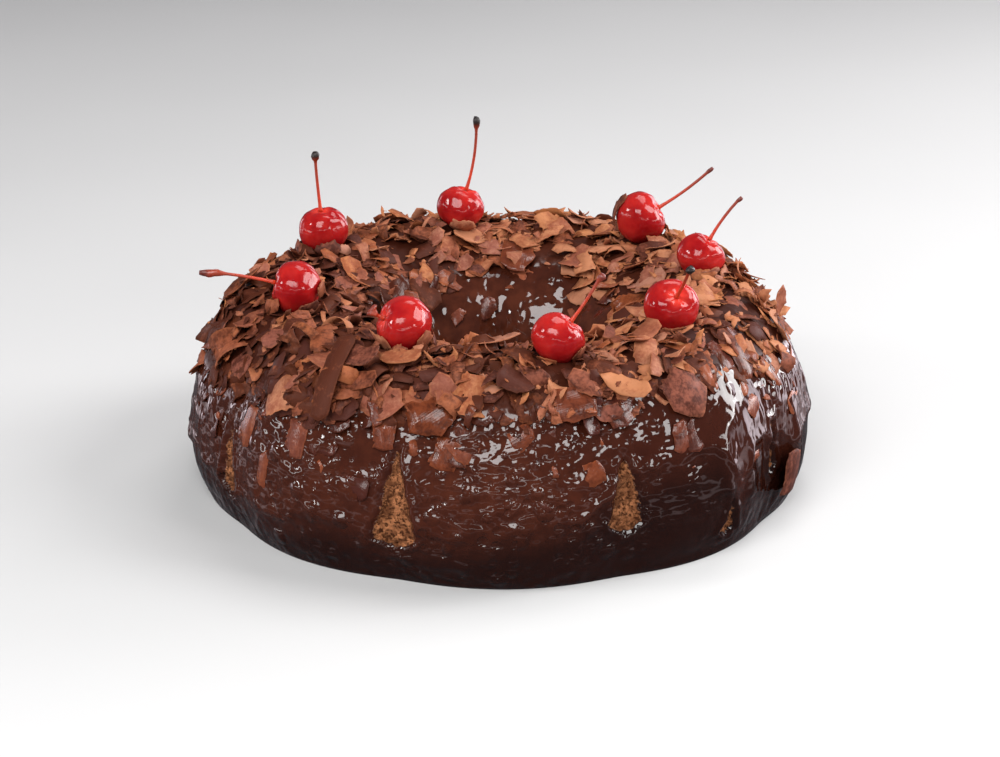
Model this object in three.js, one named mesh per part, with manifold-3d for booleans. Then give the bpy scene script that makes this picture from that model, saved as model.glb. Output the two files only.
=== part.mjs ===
// Soaked chocolate ring cake: a tube-pan cake of nine soft lobes under dark glaze, its crown
// heaped with chocolate shavings and set with eight stemmed cherries.
// Millimetres, +Z up. The origin is on the ring's axis, at the level of its flat base.
// Angles round the ring are in degrees from the front, which faces -Y, and grow towards +X.
import * as THREE from "three";
import { mergeVertices } from "three/addons/utils/BufferGeometryUtils.js";
import Module from "manifold-3d";

const wasm = await Module();
wasm.setup();

// The ring's section, as radius and height at the places where its outline turns
const BASE_OUTER = new THREE.Vector2(117, 0);
const WIDEST = new THREE.Vector2(124, 22);
const CROWN = new THREE.Vector2(87, 77);
const THROAT = new THREE.Vector2(33, 32);
const BASE_INNER = new THREE.Vector2(31, 0);

// The grooves between the lobes, deepest at the side and shallow over the crown
const GROOVE_ANGLES = [-59, -19, 22, 61, 101, 141, 181, 221, 261];
const SIDE_GROOVE_DEPTH = 5;
const CROWN_GROOVE_DEPTH = 1.6;
const CREASE_SOFTNESS = 0.22;

// How finely the ring is faceted
const SECTION_STEPS = { foot: 3, shoulder: 7, slope: 7, throat: 3 };
const LOBE_STEPS = 8;

// The shavings: thin bent chips heaped on the crown that thin out down both sides of it
const SHAVING_COUNT = 165;
const SHAVING_LENGTH = [13, 22];
const SHAVING_WIDTH = [9, 15];
const SHAVING_THICKNESS = 1.3;
const SHAVING_BEND_RADIUS = [12, 40];
const SHAVING_TAPER = 0.45;
const SHAVING_TILT = [2, 28];
const SHAVING_BAND = [0.28, 0.66]; // as shares of the section's outline
const SHAVING_HEAPING = 0.35; // 0 spreads them evenly over the band, 1 gathers them in its middle
const SHAVING_SEED = 20;
const GOLDEN_ANGLE = 137.508;

// The cherries, by place on the ring, depth of the underside below the crown, size, and the way that each
// stem leans, heads and bends
const CHERRIES = [
  { turn: 14, ring: 85, sink: 1.7, diameter: 20, lean: 38, heading: 98, stem: 21, bend: 1 },
  { turn: 54, ring: 79, sink: 1.7, diameter: 21, lean: 46, heading: 17, stem: 21, bend: 1 },
  { turn: 101, ring: 81, sink: 0.3, diameter: 19.5, lean: 27, heading: 94, stem: 21, bend: -1.5, plain: true },
  { turn: 137, ring: 85, sink: 0.3, diameter: 22, lean: 58, heading: 87, stem: 28, bend: 1.6, plain: true },
  { turn: 192, ring: 81, sink: 0.2, diameter: 20, lean: 19, heading: 102, stem: 31, bend: 3 },
  { turn: 238, ring: 85, sink: 0.2, diameter: 20.5, lean: 6, heading: -90, stem: 25, bend: 0.4 },
  { turn: 288, ring: 82, sink: 2, diameter: 21, lean: 75, heading: -88, stem: 29, bend: -1.5 },
  { turn: 333, ring: 77, sink: 1.6, diameter: 22, lean: 65, heading: -72, stem: 6, bend: 0.5, plain: true },
];
const CHERRY_FLATNESS = 0.92; // height over diameter
const CHERRY_DIMPLE = 0.2; // depth of the stem's hollow over the radius
const CHERRY_SIDES = 14;
const CHERRY_STEPS = 10;
const STEM_DIAMETER = 1.7;
const STEM_SIDES = 6;
const STEM_STEPS = 8;
const TIP_DIAMETER = 3.6;
const TIP_STRETCH = 1.6;
const CLEARANCE = 0.35; // gap between pieces that touch

// Repeatable random draws
function dice(seed) {
  let state = seed;
  return () => {
    state = (state + 0x6d2b79f5) | 0;
    let mixed = Math.imul(state ^ (state >>> 15), 1 | state);
    mixed = (mixed + Math.imul(mixed ^ (mixed >>> 7), 61 | mixed)) ^ mixed;
    return ((mixed ^ (mixed >>> 14)) >>> 0) / 4294967296;
  };
}

// A quarter of an ellipse as a curve of the section, upright at one end and level at the other
function quarterTurn(from, to, startsUpright) {
  const handle = 0.5523;
  const corner = startsUpright ? new THREE.Vector2(from.x, to.y) : new THREE.Vector2(to.x, from.y);
  return new THREE.CubicBezierCurve(
    from,
    from.clone().lerp(corner, handle),
    to.clone().lerp(corner, handle),
    to,
  );
}

const SECTION = {
  foot: new THREE.QuadraticBezierCurve(BASE_OUTER, new THREE.Vector2(WIDEST.x, WIDEST.y * 0.4), WIDEST),
  shoulder: quarterTurn(WIDEST, CROWN, true),
  slope: quarterTurn(CROWN, THROAT, false),
  throat: new THREE.LineCurve(THROAT, BASE_INNER),
};

// The outline from the outer foot over the crown and down the hole, as a share from 0 to 1
const OUTLINE = new THREE.CurvePath();
for (const curve of Object.values(SECTION)) OUTLINE.add(curve);

// The shares of the outline at the ends and inner steps of each of its curves
function outlineShares() {
  const lengths = OUTLINE.getCurveLengths();
  const whole = lengths[lengths.length - 1];
  const shares = [0];
  Object.values(SECTION_STEPS).forEach((steps, index) => {
    const start = index ? lengths[index - 1] : 0;
    for (let step = 1; step <= steps; step++) {
      shares.push((start + ((lengths[index] - start) * step) / steps) / whole);
    }
  });
  return shares;
}

// How deep the nearest groove is here: 1 on its line, 0 in the middle of a lobe
function grooveShare(angle) {
  const first = GROOVE_ANGLES[0];
  const wrapped = first + THREE.MathUtils.euclideanModulo(angle - first, 360);
  const index = GROOVE_ANGLES.findLastIndex((groove) => groove <= wrapped);
  const next = index + 1 < GROOVE_ANGLES.length ? GROOVE_ANGLES[index + 1] : first + 360;
  const across = (wrapped - GROOVE_ANGLES[index]) / (next - GROOVE_ANGLES[index]);
  const lobe = Math.hypot(Math.sin(Math.PI * across), CREASE_SOFTNESS);
  return 1 - (lobe - CREASE_SOFTNESS) / (Math.hypot(1, CREASE_SOFTNESS) - CREASE_SOFTNESS);
}

// A point on the glazed ring, at an angle round it and a share of the outline
function ringPoint(angle, share) {
  const place = OUTLINE.getPointAt(share);
  const along = OUTLINE.getTangentAt(share);
  const level = Math.abs(along.x);
  const depth = THREE.MathUtils.lerp(SIDE_GROOVE_DEPTH, CROWN_GROOVE_DEPTH, level);
  const inset = depth * grooveShare(angle);
  const radius = place.x - inset * along.y;
  const height = share === 0 || share === 1 ? place.y : place.y + inset * along.x;
  const turn = THREE.MathUtils.degToRad(angle);
  return new THREE.Vector3(radius * Math.sin(turn), -radius * Math.cos(turn), height);
}

// The ring's outward normal, from two short steps along its surface
function ringNormal(angle, share) {
  const place = ringPoint(angle, share);
  const round = ringPoint(angle + 0.5, share).sub(place);
  const over = ringPoint(angle, share + 0.003).sub(place);
  return round.cross(over).normalize();
}

// A closed geometry as a solid that can be joined and cut
function solidOf(geometry) {
  const bare = geometry.index ? geometry.toNonIndexed() : geometry.clone();
  bare.deleteAttribute("normal");
  bare.deleteAttribute("uv");
  const merged = mergeVertices(bare, 1e-3);
  return new wasm.Manifold(
    new wasm.Mesh({
      numProp: 3,
      vertProperties: new Float32Array(merged.attributes.position.array),
      triVerts: new Uint32Array(merged.index.array),
    }),
  );
}

// A solid back as a geometry
function geometryOf(solid) {
  const mesh = solid.getMesh();
  const geometry = new THREE.BufferGeometry();
  geometry.setAttribute("position", new THREE.BufferAttribute(new Float32Array(mesh.vertProperties), 3));
  geometry.setIndex(new THREE.BufferAttribute(new Uint32Array(mesh.triVerts), 1));
  geometry.computeVertexNormals();
  return geometry;
}

// The glazed ring: a lathe turning whose points are moved onto the lobed surface
function ringGeometry() {
  const shares = outlineShares();
  const section = shares.map((share) => OUTLINE.getPointAt(share));
  section.push(section[0].clone());
  const angles = [];
  GROOVE_ANGLES.forEach((groove, index) => {
    const next = index + 1 < GROOVE_ANGLES.length ? GROOVE_ANGLES[index + 1] : GROOVE_ANGLES[0] + 360;
    for (let step = 0; step < LOBE_STEPS; step++) angles.push(groove + ((next - groove) * step) / LOBE_STEPS);
  });
  angles.push(GROOVE_ANGLES[0] + 360);
  const geometry = new THREE.LatheGeometry(section, angles.length - 1);
  const position = geometry.attributes.position;
  angles.forEach((angle, column) => {
    section.forEach((_, row) => {
      const place = ringPoint(angle, row < shares.length ? shares[row] : 0);
      position.setXYZ(column * section.length + row, place.x, place.y, place.z);
    });
  });
  return geometry;
}

// One shaving: a thin plate, narrower at one end, bent along its length
function shavingGeometry(length, width, bendRadius) {
  const geometry = new THREE.BoxGeometry(length, width, SHAVING_THICKNESS, 2, 1, 1);
  const position = geometry.attributes.position;
  for (let index = 0; index < position.count; index++) {
    const along = position.getX(index);
    const narrowing = 1 - SHAVING_TAPER * (0.5 + along / length);
    const bow = bendRadius * (1 - Math.cos(along / bendRadius));
    position.setXYZ(
      index,
      bendRadius * Math.sin(along / bendRadius),
      position.getY(index) * narrowing,
      position.getZ(index) + bow,
    );
  }
  return geometry;
}

// The shavings, evenly round the ring and densest on its crown, each tilted and part sunk in the glaze
function shavingSolids() {
  const random = dice(SHAVING_SEED);
  const between = ([low, high]) => THREE.MathUtils.lerp(low, high, random());
  const solids = [];
  for (let index = 0; index < SHAVING_COUNT; index++) {
    const angle = index * GOLDEN_ANGLE;
    const across = (2 * (index + 0.5)) / SHAVING_COUNT - 1;
    const gathered = THREE.MathUtils.lerp(across, across ** 3, SHAVING_HEAPING);
    const share = THREE.MathUtils.lerp(...SHAVING_BAND, 0.5 + gathered / 2);
    const length = between(SHAVING_LENGTH);
    const geometry = shavingGeometry(length, between(SHAVING_WIDTH), between(SHAVING_BEND_RADIUS));
    const tilt = THREE.MathUtils.degToRad(between(SHAVING_TILT));
    const normal = ringNormal(angle, share);
    const lift = (length / 2) * Math.sin(tilt) * 0.7;
    const chip = new THREE.Object3D();
    chip.quaternion.setFromUnitVectors(new THREE.Vector3(0, 0, 1), normal);
    chip.rotateZ(random() * 2 * Math.PI);
    chip.rotateY(-tilt);
    chip.position.copy(ringPoint(angle, share)).addScaledVector(normal, lift);
    chip.updateMatrix();
    solids.push(solidOf(geometry.applyMatrix4(chip.matrix)));
  }
  return solids;
}

// A cherry with its stem's hollow on top, grown all round by a gap where a nest is cut for it
function cherryGeometry(diameter, gap) {
  const radius = diameter / 2;
  const outline = [];
  for (let step = 0; step <= CHERRY_STEPS; step++) {
    const around = (Math.PI * step) / CHERRY_STEPS;
    const out = Math.sin(around) * (radius + gap);
    const hollow = CHERRY_DIMPLE * radius * Math.exp(-((out / (0.42 * radius)) ** 2));
    const high = -Math.cos(around) * (radius * CHERRY_FLATNESS + gap);
    const onTop = step * 2 > CHERRY_STEPS;
    outline.push(new THREE.Vector2(step % CHERRY_STEPS ? out : 0, onTop ? high - hollow : high));
  }
  return new THREE.LatheGeometry(outline, CHERRY_SIDES).rotateX(Math.PI / 2);
}

// A stem: a thin curved stalk from the cherry's hollow to a swollen tip
function stemGeometry({ diameter, stem, bend, plain }) {
  const foot = (diameter / 2) * (CHERRY_FLATNESS - CHERRY_DIMPLE) + CLEARANCE;
  const stalk = new THREE.QuadraticBezierCurve3(
    new THREE.Vector3(0, 0, foot),
    new THREE.Vector3(0, 0, foot + stem / 2),
    new THREE.Vector3(0, 2 * bend, foot + stem),
  );
  const circle = new THREE.Shape().absarc(0, 0, STEM_DIAMETER / 2, 0, 2 * Math.PI);
  const section = new THREE.Shape(circle.getSpacedPoints(STEM_SIDES).slice(0, STEM_SIDES));
  const geometry = new THREE.ExtrudeGeometry(section, { steps: STEM_STEPS, extrudePath: stalk });
  if (plain) return geometry;
  const tip = new THREE.SphereGeometry(TIP_DIAMETER / 2, STEM_SIDES, 4);
  tip.rotateX(Math.PI / 2).scale(1, 1, TIP_STRETCH);
  tip.translate(stalk.v2.x, stalk.v2.y, stalk.v2.z);
  return geometryOf(solidOf(geometry).add(solidOf(tip)));
}

// The crown's height under a cherry that stands at this angle and distance from the axis
function crownHeight(angle, ring) {
  let best = ringPoint(angle, SHAVING_BAND[0]);
  const steps = 200;
  for (let step = 1; step <= steps; step++) {
    const place = ringPoint(angle, THREE.MathUtils.lerp(...SHAVING_BAND, step / steps));
    const nearer = Math.abs(Math.hypot(place.x, place.y) - ring) < Math.abs(Math.hypot(best.x, best.y) - ring);
    if (nearer) best = place;
  }
  return best.z;
}

// The frame of one cherry: its middle at the origin and its stem's way out along +Z
function cherryFrame({ turn, ring, sink, diameter, lean, heading }) {
  const frame = new THREE.Group();
  const angle = THREE.MathUtils.degToRad(turn);
  const height = crownHeight(turn, ring) - sink + (diameter / 2) * CHERRY_FLATNESS;
  frame.position.set(ring * Math.sin(angle), -ring * Math.cos(angle), height);
  frame.rotation.order = "ZXY";
  frame.rotation.z = THREE.MathUtils.degToRad(heading);
  frame.rotation.x = THREE.MathUtils.degToRad(lean);
  frame.updateMatrix();
  return frame;
}

// The biggest body of a joined solid: shut hollows are filled and loose scraps dropped
function mainBody(solid) {
  return solid.decompose().reduce((best, body) => (body.volume() > best.volume() ? body : best));
}

const finishes = {
  cake: new THREE.MeshStandardMaterial({ color: 0x4a2519, roughness: 0.3, metalness: 0 }),
  cherry: new THREE.MeshStandardMaterial({ color: 0xb5141c, roughness: 0.15, metalness: 0 }),
  stem: new THREE.MeshStandardMaterial({ color: 0x9c3a24, roughness: 0.5, metalness: 0 }),
};

const part = new THREE.Group();
let cake = shavingSolids().reduce((joined, chip) => joined.add(chip), solidOf(ringGeometry()));

CHERRIES.forEach((row, index) => {
  const frame = cherryFrame(row);
  const nest = cherryGeometry(row.diameter, CLEARANCE).applyMatrix4(frame.matrix);
  cake = cake.subtract(solidOf(nest));

  const cherry = new THREE.Mesh(cherryGeometry(row.diameter, 0), finishes.cherry);
  cherry.name = `cherry_${index + 1}`;
  const stem = new THREE.Mesh(stemGeometry(row), finishes.stem);
  stem.name = `cherry_stem_${index + 1}`;
  frame.add(cherry, stem);
  part.add(frame);
});

const ring = new THREE.Mesh(geometryOf(mainBody(cake)), finishes.cake);
ring.name = "cake";
part.add(ring);

export default part;
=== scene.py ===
# %% [markdown]
# # A soaked chocolate ring cake
#
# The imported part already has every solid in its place: the ring, the cherries and their stems. This
# lesson gives it its looks. The ring gets a wavy wet glaze, the crown gets a heap of real shavings, and
# the cherries get their shine. The frame is loaded first, because each new piece is worked out from it.

import math

import bmesh
import bpy
import numpy as np
from mathutils import Matrix, Vector, geometry, noise
from mathutils.bvhtree import BVHTree


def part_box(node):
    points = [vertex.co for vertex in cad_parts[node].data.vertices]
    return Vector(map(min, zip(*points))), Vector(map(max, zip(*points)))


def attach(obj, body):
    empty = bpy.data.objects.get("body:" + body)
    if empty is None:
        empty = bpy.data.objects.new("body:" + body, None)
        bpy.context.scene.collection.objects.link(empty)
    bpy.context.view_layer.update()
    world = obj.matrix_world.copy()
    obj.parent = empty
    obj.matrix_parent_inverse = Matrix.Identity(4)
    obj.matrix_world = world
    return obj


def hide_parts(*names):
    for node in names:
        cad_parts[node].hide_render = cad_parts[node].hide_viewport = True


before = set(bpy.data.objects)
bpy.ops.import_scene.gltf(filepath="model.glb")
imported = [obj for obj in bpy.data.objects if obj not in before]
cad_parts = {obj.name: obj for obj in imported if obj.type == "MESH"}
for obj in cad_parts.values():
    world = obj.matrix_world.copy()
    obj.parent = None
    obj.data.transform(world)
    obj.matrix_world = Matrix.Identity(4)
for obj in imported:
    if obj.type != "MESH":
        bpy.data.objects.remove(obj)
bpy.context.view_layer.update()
MM = 0.001
print("solids in the frame:", len(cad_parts))

# %% [markdown]
# ## The camera
#
# A camera matched to a view needs four things: how high it looks from, how far away it stands, what it
# aims at and how long its lens is. The long lens keeps the ring's far side nearly as large as its near
# side.

# %% Place the camera
CAMERA_ELEVATION = math.radians(20.3)
CAMERA_DISTANCE = 1.032
CAMERA_AIM = Vector((0, 0.013, 0.033))
CAMERA_LENS = 92.1

camera_data = bpy.data.cameras.new("camera")
camera_data.lens = CAMERA_LENS
camera = bpy.data.objects.new("camera", camera_data)
towards_camera = Vector((0, -math.cos(CAMERA_ELEVATION), math.sin(CAMERA_ELEVATION)))
camera.location = CAMERA_AIM + CAMERA_DISTANCE * towards_camera
camera.rotation_euler = towards_camera.to_track_quat("Z", "Y").to_euler()
bpy.context.scene.collection.objects.link(camera)
bpy.context.scene.camera = camera
print("camera at", tuple(round(x, 3) for x in camera.location))

# %% [markdown]
# ## Helpers for shader nodes
#
# A material is a graph of nodes. Small helpers keep the graphs readable: two add a node and fill its
# sockets, with a value or a link as the case may be, and the others wrap the nodes that are needed most.


# %% Node helpers
def plug(tree, value, socket):
    """Links an output into the socket, or sets the socket to a plain value."""
    if isinstance(value, bpy.types.NodeSocket):
        tree.links.new(value, socket)
    else:
        socket.default_value = value


def add_node(tree, kind, inputs=None, **settings):
    """A new node with its settings made and its named inputs filled."""
    node = tree.nodes.new(kind)
    for name, value in settings.items():
        setattr(node, name, value)
    for name, value in (inputs or {}).items():
        plug(tree, value, node.inputs[name])
    return node


def mix_colours(tree, factor, first, second, how="MIX"):
    """The first colour where the factor is 0, and the second where it is 1."""
    node = add_node(tree, "ShaderNodeMix", data_type="RGBA", blend_type=how)
    plug(tree, factor, node.inputs[0])
    plug(tree, first, node.inputs[6])
    plug(tree, second, node.inputs[7])
    return node.outputs[2]


def remap(tree, value, low, high, to_low=0.0, to_high=1.0):
    """The value's range from low to high, stretched over another range and clamped to it."""
    limits = {"Value": value, "From Min": low, "From Max": high, "To Min": to_low, "To Max": to_high}
    return add_node(tree, "ShaderNodeMapRange", limits, interpolation_type="SMOOTHSTEP").outputs[0]


def calculate(tree, operation, first, second=0.0):
    """One step of arithmetic."""
    node = add_node(tree, "ShaderNodeMath", operation=operation)
    plug(tree, first, node.inputs[0])
    plug(tree, second, node.inputs[1])
    return node.outputs[0]


def blobs(tree, coordinates, size, detail=3.0, roughness=0.55):
    """Soft noise whose blobs are about this size, in metres."""
    inputs = {"Vector": coordinates, "Scale": 1 / size, "Detail": detail, "Roughness": roughness}
    return add_node(tree, "ShaderNodeTexNoise", inputs).outputs["Fac"]


def attribute(tree, name):
    """A number that the mesh stores at each of its points."""
    return add_node(tree, "ShaderNodeAttribute", attribute_name=name).outputs["Fac"]


def new_material(name):
    """A material with one Principled shader: its tree, that shader and the object's own coordinates."""
    material = bpy.data.materials.new(name)
    material.use_nodes = True
    tree = material.node_tree
    shader = tree.nodes["Principled BSDF"]
    coordinates = add_node(tree, "ShaderNodeTexCoord").outputs["Object"]
    return material, tree, shader, coordinates


print("node helpers are ready")

# %% [markdown]
# ## Floor and light
#
# Wet chocolate is nearly black, so what the eye sees on it is the lamps. Soft boxes in front, on the left
# and on the right give it crisp pale patches, and thin low strips draw lines along the ripples of its
# side. A pale floor would mirror in the wet side too and grey it, so a photographer lays black card
# there. Here the floor is simply kept out of mirror reflections. It still throws its soft light.

# %% Lay the floor
FLOOR_SIZE = 14.0
FLOOR_COLOUR = (0.60, 0.597, 0.594, 1)
FLOOR_PATCHES = 0.3
FLOOR_ROUGHNESS = (0.55, 0.65)

floor_bm = bmesh.new()
bmesh.ops.create_grid(floor_bm, x_segments=2, y_segments=2, size=FLOOR_SIZE / 2)
floor_mesh = bpy.data.meshes.new("floor")
floor_bm.to_mesh(floor_mesh)
floor_bm.free()
floor = bpy.data.objects.new("floor", floor_mesh)
bpy.context.scene.collection.objects.link(floor)
floor_material, tree, shader, coordinates = new_material("floor_paint")
shader.inputs["Base Color"].default_value = FLOOR_COLOUR
floor_patches = blobs(tree, coordinates, FLOOR_PATCHES)
plug(tree, remap(tree, floor_patches, 0.3, 0.7, *FLOOR_ROUGHNESS), shader.inputs["Roughness"])
floor_mesh.materials.append(floor_material)
floor.visible_glossy = False
print("floor laid at height 0")


# %% Hang the lamps
def way_out(azimuth, elevation):
    """The direction with this azimuth, counted from the front towards the right, and this elevation."""
    around, above = math.radians(azimuth), math.radians(elevation)
    return Vector((math.sin(around) * math.cos(above), -math.cos(around) * math.cos(above), math.sin(above)))


def soft_box(name, azimuth, elevation, distance, width, height, power):
    """A rectangular lamp that faces the cake. Azimuth 0 is in front and 90 on the right."""
    lamp = bpy.data.lights.new(name, "AREA")
    lamp.shape = "RECTANGLE"
    lamp.size = width
    lamp.size_y = height
    lamp.energy = power
    away = way_out(azimuth, elevation)
    box = bpy.data.objects.new(name, lamp)
    box.location = CAMERA_AIM + distance * away
    box.rotation_euler = away.to_track_quat("Z", "Y").to_euler()
    bpy.context.scene.collection.objects.link(box)


soft_box("front_box", azimuth=-20, elevation=45, distance=1.35, width=0.8, height=0.6, power=15)
soft_box("front_strip", azimuth=4, elevation=13, distance=1.7, width=1.7, height=0.10, power=2.6)
soft_box("left_box", azimuth=-74, elevation=28, distance=1.3, width=0.2, height=0.24, power=4)
soft_box("left_strip", azimuth=-78, elevation=8, distance=1.3, width=1.1, height=0.08, power=2.0)
soft_box("gap_box", azimuth=44, elevation=20, distance=1.4, width=0.26, height=0.26, power=2.2)
soft_box("right_box", azimuth=88, elevation=44, distance=1.3, width=0.6, height=0.5, power=9)
soft_box("patch_box", azimuth=108, elevation=19, distance=1.3, width=0.58, height=0.56, power=11)
soft_box("right_strip", azimuth=84, elevation=8, distance=1.3, width=0.9, height=0.08, power=1.8)
soft_box("top_box", azimuth=150, elevation=66, distance=1.4, width=0.7, height=0.6, power=6)

# %% [markdown]
# ## The room
#
# At its edges a wet side mirrors what stands round the room more than the lamps. Cards could be modelled
# there, but they would shade the lamps, so they are painted on the world instead. The world's own
# coordinates are directions, and two kinds of pale shapes are drawn from them: upright panels behind the
# cake on both sides, for its edges to mirror as streaks, and faint level bands below the horizon, for the
# ripples to break up.

# %% Paint the room
ROOM_DARK = (0.10, 0.10, 0.11, 1)
PANEL_COLOUR = (3.8, 3.4, 3.7, 1)
# where panels stand, as a direction and the cosines between which they fade in
PANELS = (((0.66, 0.75, 0), 0.80, 0.90), ((-0.77, 0.64, 0), 0.96, 0.99))
PANEL_TOP = (0.36, 0.5)
PANEL_FOOT = (-0.34, -0.14)
PANELS_ROUND = 15
PANEL_EDGE = (-0.2, 0.3)
BAND_COLOUR = (0.95, 0.82, 0.86, 1)
BANDS_DOWN = 22
BAND_EDGE = (0.35, 1.0)
BAND_TOP = (-0.03, 0.0)
BAND_FOOT = (-0.55, -0.15)

world = bpy.data.worlds.new("room")
world.use_nodes = True
tree = world.node_tree
direction = add_node(tree, "ShaderNodeTexCoord").outputs["Object"]
parts = add_node(tree, "ShaderNodeSeparateXYZ", {"Vector": direction}).outputs
sides = []
for way, far, near in PANELS:
    towards = add_node(tree, "ShaderNodeVectorMath", operation="DOT_PRODUCT")
    plug(tree, direction, towards.inputs[0])
    plug(tree, way, towards.inputs[1])
    sides.append(remap(tree, towards.outputs["Value"], far, near))
near_panels = calculate(tree, "MAXIMUM", *sides)
azimuth = calculate(tree, "ARCTAN2", parts["X"], parts["Y"])
panel_wave = calculate(tree, "SINE", calculate(tree, "MULTIPLY", azimuth, PANELS_ROUND))
stripes = remap(tree, panel_wave, *PANEL_EDGE)
above_foot = remap(tree, parts["Z"], *PANEL_FOOT)
below_top = remap(tree, parts["Z"], *PANEL_TOP, 1.0, 0.0)
upright = calculate(tree, "MULTIPLY", above_foot, below_top)
panel_share = calculate(tree, "MULTIPLY", calculate(tree, "MULTIPLY", near_panels, stripes), upright)
room_colour = mix_colours(tree, panel_share, ROOM_DARK, PANEL_COLOUR)
band_wave = calculate(tree, "SINE", calculate(tree, "MULTIPLY", parts["Z"], BANDS_DOWN))
above_band_foot = remap(tree, parts["Z"], *BAND_FOOT)
below_band_top = remap(tree, parts["Z"], *BAND_TOP, 1.0, 0.0)
band_fade = calculate(tree, "MULTIPLY", above_band_foot, below_band_top)
band_share = calculate(tree, "MULTIPLY", remap(tree, band_wave, *BAND_EDGE), band_fade)
room_colour = mix_colours(tree, band_share, room_colour, BAND_COLOUR)
plug(tree, room_colour, tree.nodes["Background"].inputs["Color"])
bpy.context.scene.world = world
bpy.context.scene.view_settings.view_transform = "Standard"
print("nodes of the room:", len(tree.nodes))

# %% [markdown]
# ## The ring's outline
#
# A tube pan gives the cake its form: a section that is turned round an upright axis. The section is four
# curves through a few turning points, in millimetres, as radius and height. Bézier curves fit well,
# because an ellipse's quarter is one curve. A place on the ring is then two numbers: the angle round it,
# counted from the front towards the right, and the share of the outline from the outer foot over the
# crown to the hole.

# %% Draw the section
WIDEST_RADIUS = (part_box("cake")[1].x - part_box("cake")[0].x) / 2 / MM
BASE_OUTER = (117, 0)
WIDEST = (WIDEST_RADIUS, 22)
CROWN = (87, 77)
THROAT = (33, 32)
BASE_INNER = (31, 0)
ELLIPSE_HANDLE = 0.5523
FOOT_PULL = 0.4
CURVE_STEPS = 60


def curve_points(start, start_handle, end_handle, end):
    """Points along one curve of the section."""
    knots = [Vector((radius, 0, height)) for radius, height in (start, start_handle, end_handle, end)]
    return [(point.x, point.z) for point in geometry.interpolate_bezier(*knots, CURVE_STEPS)]


def quarter_turn(start, corner, end):
    """Points along a quarter of an ellipse that turns inside this corner."""
    start_handle = np.add(start, ELLIPSE_HANDLE * np.subtract(corner, start))
    end_handle = np.add(end, ELLIPSE_HANDLE * np.subtract(corner, end))
    return curve_points(start, start_handle, end_handle, end)


foot_pull = (WIDEST[0], WIDEST[1] * FOOT_PULL)
foot_handles = [np.add(end, 2 / 3 * np.subtract(foot_pull, end)) for end in (BASE_OUTER, WIDEST)]
outline = curve_points(BASE_OUTER, *foot_handles, WIDEST)
outline += quarter_turn(WIDEST, (WIDEST[0], CROWN[1]), CROWN)[1:]
outline += quarter_turn(CROWN, (THROAT[0], CROWN[1]), THROAT)[1:]
outline += curve_points(THROAT, THROAT, BASE_INNER, BASE_INNER)[1:]
OUTLINE = np.array(outline)
steps = np.linalg.norm(np.diff(OUTLINE, axis=0), axis=1)
OUTLINE_LENGTH = steps.sum()
OUTLINE_SHARE = np.concatenate([[0], np.cumsum(steps)]) / OUTLINE_LENGTH
print("outline of", len(OUTLINE), "points,", round(OUTLINE_LENGTH, 1), "mm long")

# %% [markdown]
# ## Lobes
#
# The pan's flutes make nine soft lobes with creases between them. A crease is deepest on the outer side
# and nearly fades over the crown. The formula below is a rounded arch from crease to crease.

# %% Work out the lobes
CREASES = np.array([-59, -19, 22, 61, 101, 141, 181, 221, 261])
CREASE_STARTS = CREASES - CREASES[0]
CREASE_ENDS = np.append(CREASE_STARTS[1:], 360)
SIDE_CREASE_DEPTH = 5
CROWN_CREASE_DEPTH = 1.6
CREASE_SOFTNESS = 0.22
NUDGE = 0.004  # a small step of the share, to find the section's slope


def crease_share(angle):
    """1 on a crease's line and 0 in the middle of a lobe."""
    turned = (np.asarray(angle) - CREASES[0]) % 360
    lobe = np.searchsorted(CREASE_STARTS, turned, side="right") - 1
    across = (turned - CREASE_STARTS[lobe]) / (CREASE_ENDS - CREASE_STARTS)[lobe]
    arch = np.hypot(np.sin(np.pi * across), CREASE_SOFTNESS) - CREASE_SOFTNESS
    return 1 - arch / (math.hypot(1, CREASE_SOFTNESS) - CREASE_SOFTNESS)


def ring_surface(angle, share):
    """Places on the lobed ring and the ways out of it there, in millimetres."""
    radius = np.interp(share, OUTLINE_SHARE, OUTLINE[:, 0])
    height = np.interp(share, OUTLINE_SHARE, OUTLINE[:, 1])
    ahead = [np.interp(share + NUDGE, OUTLINE_SHARE, OUTLINE[:, k]) for k in (0, 1)]
    behind = [np.interp(share - NUDGE, OUTLINE_SHARE, OUTLINE[:, k]) for k in (0, 1)]
    along = np.subtract(ahead, behind)
    along = along / np.linalg.norm(along, axis=0)
    depth = SIDE_CREASE_DEPTH + (CROWN_CREASE_DEPTH - SIDE_CREASE_DEPTH) * np.abs(along[0])
    inset = depth * crease_share(angle)
    radius = radius - inset * along[1]
    height = height + inset * along[0]
    turn = np.radians(angle)
    places = np.stack([radius * np.sin(turn), -radius * np.cos(turn), height], axis=-1)
    outward = np.stack([along[1] * np.sin(turn), -along[1] * np.cos(turn), -along[0]], axis=-1)
    return places, outward


print("crease depths:", SIDE_CREASE_DEPTH, "and", CROWN_CREASE_DEPTH, "mm")

# %% [markdown]
# ## The glazed ring's mesh
#
# The ring is a spun shape, so one operator makes it: the section's points are joined by edges and spun
# once round the axis, with the last copy merged into the first. A custom layer on the points keeps each
# one's share of the outline, because the spin copies layers with the points. Rows lie close together on
# the outer side, where the glaze shows best, and further apart under the shavings and down the hole.

# %% Spin the section
RING_COLUMNS = 704
ROW_SPANS = ((0.0, 0.36, 75), (0.36, 0.62, 24), (0.62, 0.85, 30), (0.85, 1.0, 8))

row_shares = [0.0]
for span_start, span_end, span_rows in ROW_SPANS:
    row_shares += list(np.linspace(span_start, span_end, span_rows + 1)[1:])

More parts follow.
